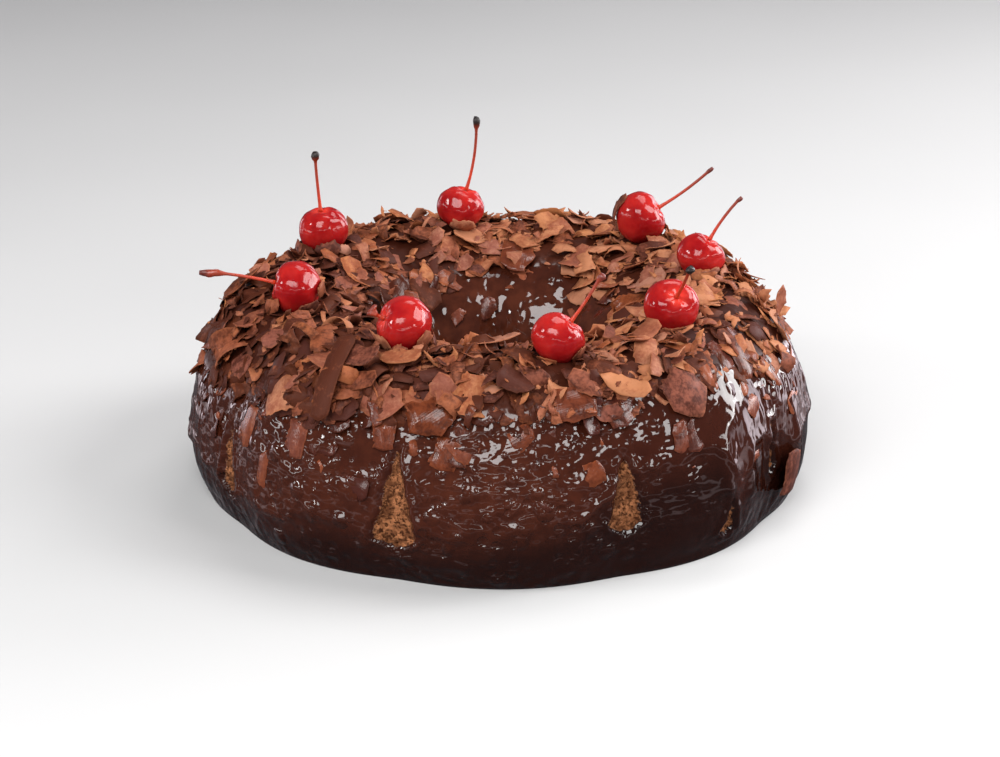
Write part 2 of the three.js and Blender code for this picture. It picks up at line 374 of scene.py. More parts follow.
ring_bm = bmesh.new()
share_layer = ring_bm.verts.layers.float.new("share")
section = []
for share in row_shares:
    radius, height = (np.interp(share, OUTLINE_SHARE, OUTLINE[:, k]) for k in (0, 1))
    point = ring_bm.verts.new((0, -radius * MM, height * MM))
    point[share_layer] = share
    section.append(point)
for point, following in zip(section, section[1:] + section[:1]):
    ring_bm.edges.new((point, following))
bmesh.ops.spin(
    ring_bm,
    geom=ring_bm.verts[:] + ring_bm.edges[:],
    cent=(0, 0, 0),
    axis=(0, 0, 1),
    angle=2 * math.pi,
    steps=RING_COLUMNS,
    use_merge=True,
)
bmesh.ops.recalc_face_normals(ring_bm, faces=ring_bm.faces[:])
print("ring of", len(ring_bm.verts), "points and", len(ring_bm.faces), "faces")

# %% [markdown]
# ## Where the sponge shows, and how far the coat runs
#
# The glaze was poured over the crown. It parted above the creases, so that tongues of bare sponge show
# there, pointed on top and wide below. Each tongue is a small formula: half its width at a height, less
# the distance from the crease. The thick upper coat also ends in a wavy tide line, below which the cake
# is soaked and dark.

# %% Describe the tongues and the tide line
# angle round the ring, lowest and highest height and half the width, in degrees and millimetres
TONGUES = (
    (-18.7, 14, 48, 8.6),
    (22.8, 19, 47, 7.2),
    (61.3, 21, 38, 3.6),
    (-59.3, 13, 43, 6.8),
    (44.5, 8, 20, 4.6),
    (101, 14, 44, 5.0),
    (141, 22, 47, 6.5),
    (181, 16, 50, 7.0),
    (221, 20, 46, 5.5),
    (261, 16, 38, 5.0),
)
# the tide line's height by angle
TIDE_ANGLES = (-75, -60, -45, -32, -19, 0, 14, 24, 34, 41, 47, 53, 68, 90, 120, 150, 180, 210, 240, 265)
TIDE_HEIGHTS = (22, 18, 17, 24, 18, 25, 28, 40, 43, 45, 25, 40, 30, 33, 22, 36, 24, 35, 20, 30)
# how thin and pitted the coat is in the middle of each lobe, from 0 to 1
LOBE_MIDDLES = (CREASES + np.append(CREASES[1:], CREASES[0] + 360)) / 2
LOBE_THINNESS = (0.7, 1.0, 0.1, 0.2, 0.8, 0.95, 0.2, 0.6, 0.5)
# how strongly the coat ran down the side, by angle
RUN_ANGLES = (-90, -39, 1, 25, 52, 63, 100, 160, 220)
RUN_STRENGTHS = (1.0, 0.7, 0.5, 0.15, 0.1, 1.0, 1.0, 0.6, 0.8)
FAR_OUTSIDE = -50.0  # the tongues' field where no tongue is near
TONGUE_ROUNDING = 0.12  # the share of a tongue's height in which its foot rounds off


def arc_length(angle, middle, radius):
    """The distance round the ring between two angles, in millimetres."""
    return np.abs((angle - middle + 180) % 360 - 180) * np.pi / 180 * radius


def tongue_field(angle, height, radius):
    """How far inside a tongue of bare sponge each place is, in millimetres: below 0 outside."""
    best = np.full(len(angle), FAR_OUTSIDE)
    for middle, low, high, half_width in TONGUES:
        sideways = arc_length(angle, middle, radius)
        rise = np.clip((height - low) / (high - low), 0, 1)
        width = half_width * np.clip(rise / TONGUE_ROUNDING, 0, 1) ** 0.5 * (1 - rise) ** 0.75
        inside = np.minimum(width - sideways, np.minimum(height - low, 0.5 * (high - height)))
        best = np.maximum(best, inside)
    return best


print("tongues of bare sponge:", len(TONGUES))


# %% Noise for uneven surfaces
PIT_REACH = 0.22  # a pit's radius over the spacing of pits


def noise_at(places, size, seed, octaves=3):
    """Smooth noise from about -1 to 1 at each place, with blobs of about this size."""
    shift = Vector((7.3, 3.1, 5.7)) * seed
    return np.array([noise.fractal(Vector(place) / size + shift, 1.0, 2.0, octaves) for place in places])


def ridges_at(places, size, seed):
    """Noise that rises to thin ridges, from 0 to 1."""
    return 1 - np.minimum(1, 3 * np.abs(noise_at(places, size, seed, 2)))


def pits_at(places, spacing, seed):
    """1 in the middle of scattered round pits and 0 away from them."""
    shift = Vector((2.9, 8.3, 4.1)) * seed
    nearest = [noise.voronoi(Vector(place) / spacing + shift)[0][0] for place in places]
    return np.clip(1 - np.array(nearest) / PIT_REACH, 0, 1)


def step_up(value, low, high):
    """0 below low, 1 above high and a smooth rise between them."""
    rise = np.clip((value - low) / (high - low), 0, 1)
    return rise * rise * (3 - 2 * rise)


print("noise helpers are ready")

# %% [markdown]
# ## Glaze relief
#
# Poured glaze isn't even. It has slow swells, lumps where it ran over crumbs and shavings, fine wrinkles
# and burst bubbles where it is thin, upright runs where it is thick, and a wavy ridge where it stopped at
# the tide line. Each is a layer of noise at its own size. Sculpting would do as well, but layers can be
# changed one by one. They move the points along the way out of the ring, so the relief is real geometry.

# %% Shape the glaze
SWELL = (42, 1.0)  # size and height in millimetres
LUMPS = (11, 0.5)
CROWN_LUMPS = (8, 0.8)
WRINKLES = (6.5, 0.5)
PITS = (10, 0.9)
RUNS = (9, 1.0)
CRUMB = (2.4, 0.7)
TIDE_RIDGE = (2.5, 1.3)
TIDE_WAVES = (12, 2.5)
RIDGE_WAVES = 14
THIN_PATCHES = (30, 0.4)
BARE_WAVES = ((9, 1.1), (3, 0.4))
COAT_THICKNESS = 1.0
TONGUE_DEPTH = 2.0
LIP_HEIGHT = 1.1
LIP_PLACE = (2.2, 1.4)  # how far outside a tongue its lip lies, and how wide it is
RUN_STRETCH = 4
FOOT_SHARE = 0.02  # the relief fades to nothing over this share at both feet
# shares of the outline between which the outer side ends, the crown starts and the hole's wall starts
OUTER_SIDE = (0.40, 0.50)
CROWN_EDGE = (0.24, 0.33)
INNER_WALL = (0.60, 0.70)
# drips that ran further than the rest: angle, lowest and highest height, half the width and the bulge
DRIPS = (
    (43, 25, 46, 5.0, 2.2),
    (51, 18, 40, 3.5, 1.6),
    (33, 31, 50, 6, 1.0),
    (70, 14, 40, 4, 1.6),
    (-49, 14, 36, 4, 1.0),
    (150, 20, 48, 5, 1.6),
    (222, 18, 44, 5, 1.8),
)

ring_share = np.array([point[share_layer] for point in ring_bm.verts])
spun = np.array([point.co for point in ring_bm.verts])
ring_angle = np.degrees(np.arctan2(spun[:, 0], -spun[:, 1]))
ring_place, ring_outward = ring_surface(ring_angle, ring_share)
ring_radius = np.hypot(ring_place[:, 0], ring_place[:, 1])
ring_height = ring_place[:, 2]

thin = np.interp(ring_angle, LOBE_MIDDLES, LOBE_THINNESS, period=360)
thin = np.clip(thin * (1 + THIN_PATCHES[1] * noise_at(ring_place, THIN_PATCHES[0], 1)), 0, 1)
outer_side = step_up(-ring_share, -OUTER_SIDE[1], -OUTER_SIDE[0])
tide_height = np.interp(ring_angle, TIDE_ANGLES, TIDE_HEIGHTS, period=360)
above_tide = ring_height - tide_height - TIDE_WAVES[1] * noise_at(ring_place, TIDE_WAVES[0], 2)
coat = np.maximum(step_up(above_tide, -2.0, 2.0), 1 - outer_side)
soaked = step_up(-above_tide, -8, 14) * outer_side
bare = tongue_field(ring_angle, ring_height, ring_radius)
(wide, wide_height), (fine, fine_height) = BARE_WAVES
bare += wide_height * noise_at(ring_place, wide, 3) + fine_height * noise_at(ring_place, fine, 10)
bare = np.where(outer_side > 0.5, bare, FAR_OUTSIDE)
stretched = ring_place * (1, 1, 1 / RUN_STRETCH)
near_crown = step_up(ring_share, *CROWN_EDGE) * outer_side
inner_wall = step_up(ring_share, *INNER_WALL)
ran_down = np.interp(ring_angle, RUN_ANGLES, RUN_STRENGTHS, period=360) * (1 - 0.7 * inner_wall)
thin = thin * (1 - 0.8 * inner_wall)

relief = SWELL[1] * noise_at(ring_place, SWELL[0], 4)
relief += LUMPS[1] * (0.4 + 0.6 * thin + 0.8 * inner_wall) * noise_at(ring_place, LUMPS[0], 5)
relief += CROWN_LUMPS[1] * near_crown * (0.15 + 0.85 * thin) * ridges_at(ring_place, CROWN_LUMPS[0], 6)
relief += WRINKLES[1] * thin * coat * ridges_at(ring_place, WRINKLES[0], 7)
relief -= PITS[1] * thin * coat * pits_at(ring_place, PITS[0], 8)
relief += RUNS[1] * ran_down * (1 - thin) * noise_at(stretched, RUNS[0], 9)
relief += COAT_THICKNESS * (coat - 1) * (1 - 0.7 * thin)
ridge = TIDE_RIDGE[1] * np.clip(0.55 + noise_at(ring_place, RIDGE_WAVES, 12), 0, 1.2) * outer_side
relief += ridge * np.exp(-((above_tide / TIDE_RIDGE[0]) ** 2))
for middle, low, high, half_width, bulge in DRIPS:
    sideways = arc_length(ring_angle, middle, ring_radius)
    rise = (ring_height - low) / (high - low)
    trail = step_up(rise, 0, 0.14) * np.clip(1 - 0.75 * rise, 0.25, 1) * step_up(-rise, -1.5, -0.9)
    relief += bulge * np.exp(-((sideways / half_width) ** 2)) * trail * outer_side
relief += LIP_HEIGHT * np.exp(-(((bare + LIP_PLACE[0]) / LIP_PLACE[1]) ** 2))
relief -= TONGUE_DEPTH * step_up(bare, -1.2, 0.8)
relief += CRUMB[1] * step_up(bare, -0.2, 0.8) * noise_at(ring_place, CRUMB[0], 11, 2)
relief *= np.clip(np.minimum(ring_share, 1 - ring_share) / FOOT_SHARE, 0, 1)

moved = (ring_place + relief[:, None] * ring_outward) * MM
moved[:, 2] = np.where((ring_share == 0) | (ring_share == 1), 0, moved[:, 2])
for point, place in zip(ring_bm.verts, moved):
    point.co = place
bmesh.ops.recalc_face_normals(ring_bm, faces=ring_bm.faces[:])
ring_skin = BVHTree.FromBMesh(ring_bm)
print("relief from", round(relief.min(), 2), "to", round(relief.max(), 2), "mm")


# %% Finish the ring as a piece
def finish_piece(name, mesh, material, slot, *nodes):
    """A shown object of this mesh that rides with the part and may stand for some of its solids."""
    mesh.materials.append(material)
    piece = bpy.data.objects.new(name, mesh)
    bpy.context.scene.collection.objects.link(piece)
    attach(piece, "root")
    if nodes:
        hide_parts(*nodes)
    return piece


def store(mesh, name, values):
    """Keeps one number for each point of the mesh, for its material to read."""
    kept = mesh.attributes.new(name, "FLOAT", "POINT")
    kept.data.foreach_set("value", np.asarray(values, np.float32))


def mesh_of(bm, name):
    """A smooth mesh of the finished bmesh, which is then freed."""
    mesh = bpy.data.meshes.new(name)
    bm.to_mesh(mesh)
    bm.free()
    mesh.shade_smooth()
    return mesh


ring_mesh = mesh_of(ring_bm, "cake_ring")
store(ring_mesh, "bare", bare)
store(ring_mesh, "soaked", soaked)
store(ring_mesh, "thin", thin)
store(ring_mesh, "ran_down", ran_down)
# how pale the glaze turns: a thin coat is paler in its own colour, and the hole's wall is painted paler, as
# painted light
store(ring_mesh, "light", np.maximum(thin, 1.5 * inner_wall))
print("attributes on the ring:", [a.name for a in ring_mesh.attributes if a.data_type == "FLOAT"])

# %% [markdown]
# ## The glaze's finish
#
# One material covers the ring. It is dark, wet chocolate, and where the stored field says that the sponge
# is bare it turns to pale open crumb. Two materials would need a seam in the mesh. The field is in
# millimetres, so a little noise and a narrow step give a ragged edge that is finer than the mesh. Crumb,
# and glaze that the heap hides or that lies deep in the hole, loses its shine by a dark tint of its
# reflection. On crumb that is its own dullness. On the glaze under the heap and deep in the hole it is
# painted shade, which darkens the gaps between the chips and the depth of the hole. The glaze on the
# hole's wall is also painted paler, as painted light, while a thin coat is paler in its own colour.

# %% Mix the glaze and the crumb
GLAZE_DEEP = (0.011, 0.0027, 0.0017, 1)
GLAZE_THICK = (0.031, 0.0068, 0.0036, 1)
GLAZE_THIN = (0.080, 0.0195, 0.0092, 1)
CRUMB_PALE = (0.57, 0.228, 0.098, 1)
CRUMB_BROWN = (0.21, 0.076, 0.033, 1)
PORE_SHADE = (0.075, 0.025, 0.011, 1)
GLAZE_SHINE = (1, 1, 1, 1)
DULL_AND_SHADED_SHINE = (0.1, 0.06, 0.05, 1)
GLAZE_IOR = 1.47
GLAZE_ROUGHNESS = (0.03, 0.08)
CRUMB_ROUGHNESS = 0.6
SOAKED_DARKNESS = 0.92
# sizes of the patterns, in metres
EDGE_GRAIN = 0.0022
MOTTLE_SIZE = 0.0055
PORE_SIZE = 0.0013
CRUMB_SIZE = 0.0032
GLOSS_PATCHES = 0.012

glaze, tree, shader, coordinates = new_material("chocolate_glaze")
bare_edge = remap(tree, blobs(tree, coordinates, EDGE_GRAIN), 0.25, 0.75, -0.5, 0.5)
bare_field = calculate(tree, "ADD", attribute(tree, "bare"), bare_edge)
crumb_share = remap(tree, bare_field, -0.25, 0.35)

mottle = remap(tree, blobs(tree, coordinates, MOTTLE_SIZE, 4), 0.25, 0.75, 0.2, 0.75)
# on the hole's wall this paleness is painted light
mottle = calculate(tree, "MULTIPLY", attribute(tree, "light"), mottle)
glaze_colour = mix_colours(tree, mottle, GLAZE_THICK, GLAZE_THIN)
depth = calculate(tree, "MULTIPLY", attribute(tree, "soaked"), SOAKED_DARKNESS)
glaze_colour = mix_colours(tree, depth, glaze_colour, GLAZE_DEEP)
pores = blobs(tree, coordinates, PORE_SIZE, 4, 0.7)
crumb_tone = remap(tree, blobs(tree, coordinates, CRUMB_SIZE), 0.35, 0.65)
crumb_colour = mix_colours(tree, crumb_tone, CRUMB_BROWN, CRUMB_PALE)
# the dark pores are painted shade in the crumb's holes, which the bump also sinks
crumb_colour = mix_colours(tree, remap(tree, pores, 0.40, 0.54), PORE_SHADE, crumb_colour)
plug(tree, mix_colours(tree, crumb_share, glaze_colour, crumb_colour), shader.inputs["Base Color"])

gloss = remap(tree, blobs(tree, coordinates, GLOSS_PATCHES), 0.35, 0.7, *GLAZE_ROUGHNESS)
dull_and_shaded_share = calculate(tree, "MAXIMUM", crumb_share, attribute(tree, "matte_and_shaded"))
plug(tree, remap(tree, dull_and_shaded_share, 0, 1, gloss, CRUMB_ROUGHNESS), shader.inputs["Roughness"])
# the dark tint of the reflection: the crumb's own dullness, and painted shade on the glaze under the heap and
# deep in the hole
plug(tree, mix_colours(tree, dull_and_shaded_share, GLAZE_SHINE, DULL_AND_SHADED_SHINE), shader.inputs["Specular Tint"])
shader.inputs["IOR"].default_value = GLAZE_IOR
print("glaze and crumb mixed in", len(tree.nodes), "nodes")

# %% [markdown]
# ## The glaze's fine relief
#
# The many small glints of a thin wet coat come from relief that is finer than the mesh, so bump makes it.
# A glint is crisp only where the slope changes evenly, as on a drop. So beads and dimples are round caps
# cut from a pattern of cells, all of one steepness, rather than plain noise. Wrinkles, level sags,
# upright runs and slow swells are noise that is drawn out one way or the other. All heights are in
# millimetres.

# %% Roughen the glaze with bump
BEADS = (8.0, 0.8, 4.0, 0.42)  # spacing, smallest and largest radius, and height over the radius
DIMPLES = (5.5, 0.5, 2.4, 0.40)
FINE_WRINKLES = (7.5, 0.6)  # size and height
FINE_SAGS = (11, 0.4)
FINE_RUNS = (6.5, 1.0)
FINE_SWELLS = (14, 0.5)
SAG_STRETCH = 3
CRUMB_RELIEF = 2.5


def caps(tree, coordinates, spacing, smallest, largest, steepness):
    """The height of scattered round caps of many sizes, all of one steepness."""
    cells = add_node(tree, "ShaderNodeTexVoronoi", {"Vector": coordinates, "Scale": 1 / (spacing * MM)})
    pick = add_node(tree, "ShaderNodeSeparateColor", {"Color": cells.outputs["Color"]}).outputs[0]
    sizes = {"Value": pick, "To Min": smallest, "To Max": largest}
    radius = add_node(tree, "ShaderNodeMapRange", sizes).outputs[0]
    away = calculate(tree, "MULTIPLY", cells.outputs["Distance"], spacing)
    fall = calculate(tree, "DIVIDE", calculate(tree, "MULTIPLY", away, away), radius)
    cap = calculate(tree, "MAXIMUM", calculate(tree, "SUBTRACT", radius, fall), 0)
    return calculate(tree, "MULTIPLY", cap, steepness)


def squeezed(tree, coordinates, factor):
    """The coordinates with heights scaled, so that a pattern on them is drawn out or pressed flat."""
    scale = {"Vector": coordinates, "Scale": (1, 1, factor)}
    return add_node(tree, "ShaderNodeMapping", scale).outputs["Vector"]


def fine_noise(tree, coordinates, size):
    """Smooth noise of one octave, whose blobs are about this size in millimetres."""
    return blobs(tree, coordinates, size * MM, 1)


wrinkle = fine_noise(tree, coordinates, FINE_WRINKLES[0])
wrinkle = remap(tree, wrinkle, 0.32, 0.68, 0.0, FINE_WRINKLES[1])
sag = fine_noise(tree, squeezed(tree, coordinates, SAG_STRETCH), FINE_SAGS[0])
sag = remap(tree, sag, 0.2, 0.8, 0.0, FINE_SAGS[1])
thin_relief = calculate(tree, "SUBTRACT", caps(tree, coordinates, *BEADS), caps(tree, coordinates, *DIMPLES))
thin_relief = calculate(tree, "ADD", thin_relief, calculate(tree, "ADD", wrinkle, sag))
thin_relief = calculate(tree, "MULTIPLY", thin_relief, attribute(tree, "thin"))
runs = fine_noise(tree, squeezed(tree, coordinates, 1 / RUN_STRETCH), FINE_RUNS[0])
runs = calculate(tree, "MULTIPLY", runs, FINE_RUNS[1])
runs = calculate(tree, "MULTIPLY", runs, attribute(tree, "ran_down"))
swells = calculate(tree, "MULTIPLY", fine_noise(tree, coordinates, FINE_SWELLS[0]), FINE_SWELLS[1])
glaze_relief = calculate(tree, "ADD", thin_relief, calculate(tree, "ADD", swells, runs))
crumb_relief = calculate(tree, "MULTIPLY", pores, CRUMB_RELIEF)
both = add_node(tree, "ShaderNodeMix", data_type="FLOAT")
plug(tree, crumb_share, both.inputs[0])
plug(tree, glaze_relief, both.inputs[2])
plug(tree, crumb_relief, both.inputs[3])
bump = add_node(tree, "ShaderNodeBump", {"Strength": 1.0, "Distance": MM, "Height": both.outputs[0]})
plug(tree, bump.outputs["Normal"], shader.inputs["Normal"])
finish_piece("cake_glaze", ring_mesh, glaze, "cake", "cake")
print("glaze nodes:", len(tree.nodes))

# %% [markdown]
# ## Cherries
#
# A candied cherry is a slightly flat ball with a hollow where its stem goes in, a few folds that run into
# the hollow, and a soft seam down one side. A uv sphere is a good start, because its poles lie on the
# stem's axis. The frame says where each one sits; the rows below say how it is turned.

# %% Describe the cherries
CHERRY_FLATNESS = 0.92
CHERRY_DIMPLE = 0.2
CLEARANCE = 0.35
HOLLOW_SHIFT = 0.06  # how far the hollow moves the box's middle, over the radius
# diameter, the stem's lean from upright and its heading, its length, bend and tip, in millimetres and degrees
CHERRIES = (
    (20, 38, 98, 21, 1, "frayed"),
    (21, 46, 17, 21, 1, "knob"),
    (19.5, 27, 94, 21, -1.5, "plain"),
    (22, 58, 87, 28, 1.6, "plain"),
    (20, 19, 102, 31, 3, "knob"),
    (20.5, 6, -90, 25, 0.4, "knob"),
    (21, 75, -88, 29, -1.5, "spindle"),
    (22, 65, -72, 6, 0.5, "torn"),
)


def cherry_matrix(number):
    """The cherry's place and turn: its middle at the origin and its stem's way out along +Z."""
    low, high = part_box(f"cherry_{number}")
    diameter, lean, heading = CHERRIES[number - 1][:3]
    turn = Matrix.Rotation(math.radians(heading), 4, "Z") @ Matrix.Rotation(math.radians(lean), 4, "X")
    shift = Matrix.Translation((0, 0, HOLLOW_SHIFT * diameter / 2 * MM))
    return Matrix.Translation((low + high) / 2) @ turn @ shift


print("cherries:", len(CHERRIES))

# %% Model a cherry
CHERRY_SEGMENTS = 44
CHERRY_RINGS = 30
# widths and places over the cherry's radius, and the seam's angle and width in radians
HOLLOW_WIDTH = 0.42
HOLLOW_PALE_WIDTH = 0.5
FOLD_COUNT = 5
FOLD_DEPTH = 0.03
FOLD_PLACE = (0.38, 0.24)
SEAM_DEPTH = 0.05
SEAM_PLACE = (0.8, 0.22)
CHERRY_LUMPS = 0.055


def cherry_mesh(number):
    """A lumpy cherry with its hollow, folds and seam, in its place."""
    radius = CHERRIES[number - 1][0] / 2 * MM
    bm = bmesh.new()
    bmesh.ops.create_uvsphere(bm, u_segments=CHERRY_SEGMENTS, v_segments=CHERRY_RINGS, radius=1)
    shift = Vector((number * 3.7, number * 1.9, 0.5))
    for point in bm.verts:
        out = math.hypot(point.co.x, point.co.y)
        around = math.atan2(point.co.y, point.co.x)
        upper = max(0.0, point.co.z)
        hollow = CHERRY_DIMPLE * math.exp(-((out / HOLLOW_WIDTH) ** 2)) if point.co.z > 0 else 0
        waves = math.cos(FOLD_COUNT * around + 3 * noise.noise(shift + point.co))
        fold = FOLD_DEPTH * waves * math.exp(-(((out - FOLD_PLACE[0]) / FOLD_PLACE[1]) ** 2)) * upper
        seam = SEAM_DEPTH * math.exp(-((around - SEAM_PLACE[0]) / SEAM_PLACE[1]) ** 2) * out
        lumps = CHERRY_LUMPS * noise.fractal(point.co * 1.2 + shift, 1.0, 2.0, 2)
        swell = 1 + lumps + fold - seam
        height = point.co.z * swell * CHERRY_FLATNESS - hollow
        point.co = Vector((point.co.x * swell, point.co.y * swell, height))
    bmesh.ops.scale(bm, vec=(radius, radius, radius), verts=bm.verts[:])
    hollow_layer = bm.verts.layers.float.new("hollow")
    for point in bm.verts:
        out = math.hypot(point.co.x, point.co.y) / radius
        point[hollow_layer] = math.exp(-((out / HOLLOW_PALE_WIDTH) ** 2)) if point.co.z > 0 else 0
    bmesh.ops.transform(bm, matrix=cherry_matrix(number), verts=bm.verts[:])
    bmesh.ops.recalc_face_normals(bm, faces=bm.faces[:])
    return mesh_of(bm, f"cherry_{number}_flesh")


print("cherry faces:", CHERRY_SEGMENTS * CHERRY_RINGS)

# %% [markdown]
# ## Cherry red
#
# Candied flesh lets some light in, so the shader has some scattering under the surface, with red going
# furthest. The syrup makes it glossy. The hollow is paler, and slow noise darkens patches of the skin.

# %% Mix the cherry red
CHERRY_RED = (0.43, 0.018, 0.015, 1)
CHERRY_DARK = (0.28, 0.005, 0.007, 1)
CHERRY_PALE = (0.75, 0.055, 0.035, 1)
CHERRY_IOR = 1.37
SYRUP_ROUGHNESS = (0.07, 0.14)
SCATTERING = 0.35
SCATTER_REACH = (1.0, 0.12, 0.08)  # of red, green and blue, over the depth
SCATTER_DEPTH = 0.004
# sizes of the patterns, in metres
SKIN_PATCHES = 0.009
SYRUP_PATCHES = 0.004
SKIN_GRAIN = 0.0035
SKIN_DEPTH = 0.0006

cherry_red, tree, shader, coordinates = new_material("candied_cherry")
patches = remap(tree, blobs(tree, coordinates, SKIN_PATCHES), 0.3, 0.7)
skin_colour = mix_colours(tree, patches, CHERRY_DARK, CHERRY_RED)
hollow_share = remap(tree, attribute(tree, "hollow"), 0.35, 1.0, 0.0, 0.75)
plug(tree, mix_colours(tree, hollow_share, skin_colour, CHERRY_PALE), shader.inputs["Base Color"])
shader.inputs["Subsurface Weight"].default_value = SCATTERING
shader.inputs["Subsurface Radius"].default_value = SCATTER_REACH
shader.inputs["Subsurface Scale"].default_value = SCATTER_DEPTH
shader.inputs["IOR"].default_value = CHERRY_IOR
syrup = blobs(tree, coordinates, SYRUP_PATCHES)
plug(tree, remap(tree, syrup, 0.3, 0.7, *SYRUP_ROUGHNESS), shader.inputs["Roughness"])
skin_bump = {"Strength": 0.25, "Distance": SKIN_DEPTH, "Height": blobs(tree, coordinates, SKIN_GRAIN, 2)}
plug(tree, add_node(tree, "ShaderNodeBump", skin_bump).outputs["Normal"], shader.inputs["Normal"])

for number in range(1, len(CHERRIES) + 1):
    finish_piece(f"cherry_{number}_skin", cherry_mesh(number), cherry_red, "cherry", f"cherry_{number}")
print("cherries made:", len(CHERRIES))

# %% [markdown]
# ## Stems
#
# A stem is a thin stalk that thickens at both ends. It is made by pushing one small circle along a bent
# line: at each step the last ring of edges is extruded, then one matrix carries the new ring to its place
# and size.

# %% Model a stem
STEM_RADIUS = 0.75
STEM_SIDES = 10
STEM_STEPS = 26
STEM_WAIST = 0.82  # the slim part's radius over the stem's
STEM_FLARE = (0.5, 0.08)  # how much wider the foot is, and over which share of the length
TIP_LUMPS = 0.5
TIP_LUMP_SCALE = 450
# radius of the tip over the stem's, its share of the length, and how dark it is
TIPS = {
    "knob": (2.3, 0.14, 1.0),
    "spindle": (2.1, 0.30, 0.45),
    "frayed": (1.8, 0.14, 0.2),
    "plain": (1.15, 0.1, 0.3),
    "torn": (1.7, 0.5, 0.0),
}


def stem_path(number):
    """The stem's middle line in the cherry's own frame, in millimetres."""
    diameter, _, _, length, bend, _ = CHERRIES[number - 1]
    foot = diameter / 2 * (CHERRY_FLATNESS - CHERRY_DIMPLE) + CLEARANCE
    start = Vector((0, 0, foot))
    pull = Vector((0, 0, foot + length / 2))
    end = Vector((0, 2 * bend, foot + length))
    handles = start.lerp(pull, 2 / 3), end.lerp(pull, 2 / 3)
    return geometry.interpolate_bezier(start, *handles, end, STEM_STEPS)


def tip_bulge(along, share):
    """1 in the swollen end of the stalk, which takes this share of its length, and 0 below it."""
    return math.exp(-(((along - 1 + share / 2) / (share / 2)) ** 4))


def stem_radius(along, tip):
    """The stalk's radius at a share of its length: flared at the foot, slim, then swollen at its tip."""
    swelling, share, _ = TIPS[tip]
    flare = STEM_FLARE[0] * math.exp(-along / STEM_FLARE[1])
    return STEM_RADIUS * (STEM_WAIST + flare + (swelling - STEM_WAIST) * tip_bulge(along, share))


def stem_mesh(number):
    """A stalk along its path, in its place."""
    tip = CHERRIES[number - 1][5]
    path = stem_path(number)
    bm = bmesh.new()
    along_layer = bm.verts.layers.float.new("along")
    dark_layer = bm.verts.layers.float.new("dark")
    ring = bmesh.ops.create_circle(bm, cap_ends=True, segments=STEM_SIDES, radius=1)["verts"]
    edges = list({edge for point in ring for edge in point.link_edges})
    before = Matrix.Identity(4)
    for index, place in enumerate(path):
        along = index / (len(path) - 1)
        ahead = path[min(index + 1, len(path) - 1)] - path[max(index - 1, 0)]
        width = stem_radius(along, tip) * MM
        here = Matrix.Translation(place * MM) @ ahead.to_track_quat("Z", "Y").to_matrix().to_4x4()
        here = here @ Matrix.Diagonal((width, width, width, 1))
        if index:
            made = bmesh.ops.extrude_edge_only(bm, edges=edges)["geom"]
            ring = [part for part in made if isinstance(part, bmesh.types.BMVert)]
            edges = [part for part in made if isinstance(part, bmesh.types.BMEdge)]
        bmesh.ops.transform(bm, matrix=here @ before.inverted(), verts=ring)
        for point in ring:
            point[along_layer] = along
            point[dark_layer] = TIPS[tip][2]
            lumps = TIP_LUMPS * tip_bulge(along, TIPS[tip][1]) * noise.noise(point.co * TIP_LUMP_SCALE)
            point.co += lumps * (point.co - place * MM)
        before = here
    bmesh.ops.holes_fill(bm, edges=edges, sides=0)
    bmesh.ops.transform(bm, matrix=cherry_matrix(number), verts=bm.verts[:])
    bmesh.ops.recalc_face_normals(bm, faces=bm.faces[:])
    return mesh_of(bm, f"cherry_stem_{number}_stalk")


print("stem tips:", sorted(TIPS))

# %% Mix the stem's finish and make the stems
STEM_RED = (0.58, 0.045, 0.014, 1)
STEM_BROWN = (0.30, 0.036, 0.014, 1)
STEM_TIP = (0.20, 0.026, 0.014, 1)
STEM_BLACK = (0.012, 0.006, 0.005, 1)
STEM_ROUGHNESS = (0.25, 0.5)
# sizes of the patterns, in metres
STEM_SPECKS = 0.0016
STEM_PATCHES = 0.003
STEM_GRAIN = 0.0011
STEM_DEPTH = 0.0004

stem_finish, tree, shader, coordinates = new_material("cherry_stem")
stem_colour = mix_colours(tree, remap(tree, attribute(tree, "along"), 0.1, 0.8), STEM_RED, STEM_BROWN)
tip_colour = mix_colours(tree, attribute(tree, "dark"), STEM_TIP, STEM_BLACK)
tip_share = remap(tree, attribute(tree, "along"), 0.84, 0.94)
speckle = remap(tree, blobs(tree, coordinates, STEM_SPECKS), 0.4, 0.7, 0.0, 0.35)
stem_colour = mix_colours(tree, speckle, stem_colour, STEM_TIP)
plug(tree, mix_colours(tree, tip_share, stem_colour, tip_colour), shader.inputs["Base Color"])
stem_patches = blobs(tree, coordinates, STEM_PATCHES)
plug(tree, remap(tree, stem_patches, 0.3, 0.7, *STEM_ROUGHNESS), shader.inputs["Roughness"])
stem_bump = {"Strength": 0.5, "Distance": STEM_DEPTH, "Height": blobs(tree, coordinates, STEM_GRAIN, 2)}
plug(tree, add_node(tree, "ShaderNodeBump", stem_bump).outputs["Normal"], shader.inputs["Normal"])

for number in range(1, len(CHERRIES) + 1):
    node = f"cherry_stem_{number}"
    finish_piece(f"{node}_stalk", stem_mesh(number), stem_finish, "stem", node)
print("stems made:", len(CHERRIES))

# %% [markdown]
# ## Shavings: the blanks
#
# A shaving is a thin chip scraped off a block, with torn edges. Hundreds are needed, so a few flat blanks
# are modelled with operators and later stamped many times, each at its own size, bend and turn. A blank
# is a grid one unit long and one wide, its outline pulled ragged, then extruded to a thickness of one.

# %% Cut the blanks
SHAVING_SEED = 47
BREAK_SKEW = 0.28  # how far the breaks turn from an even spread
FURTHEST_REACH = 0.62
# how ragged the torn long side, the other long side and the ends are
TORN_SHARES = (1.0, 0.4, 0.45)
END = 0.49  # a blank's end lies beyond this, along its length
dice = np.random.default_rng(SHAVING_SEED)


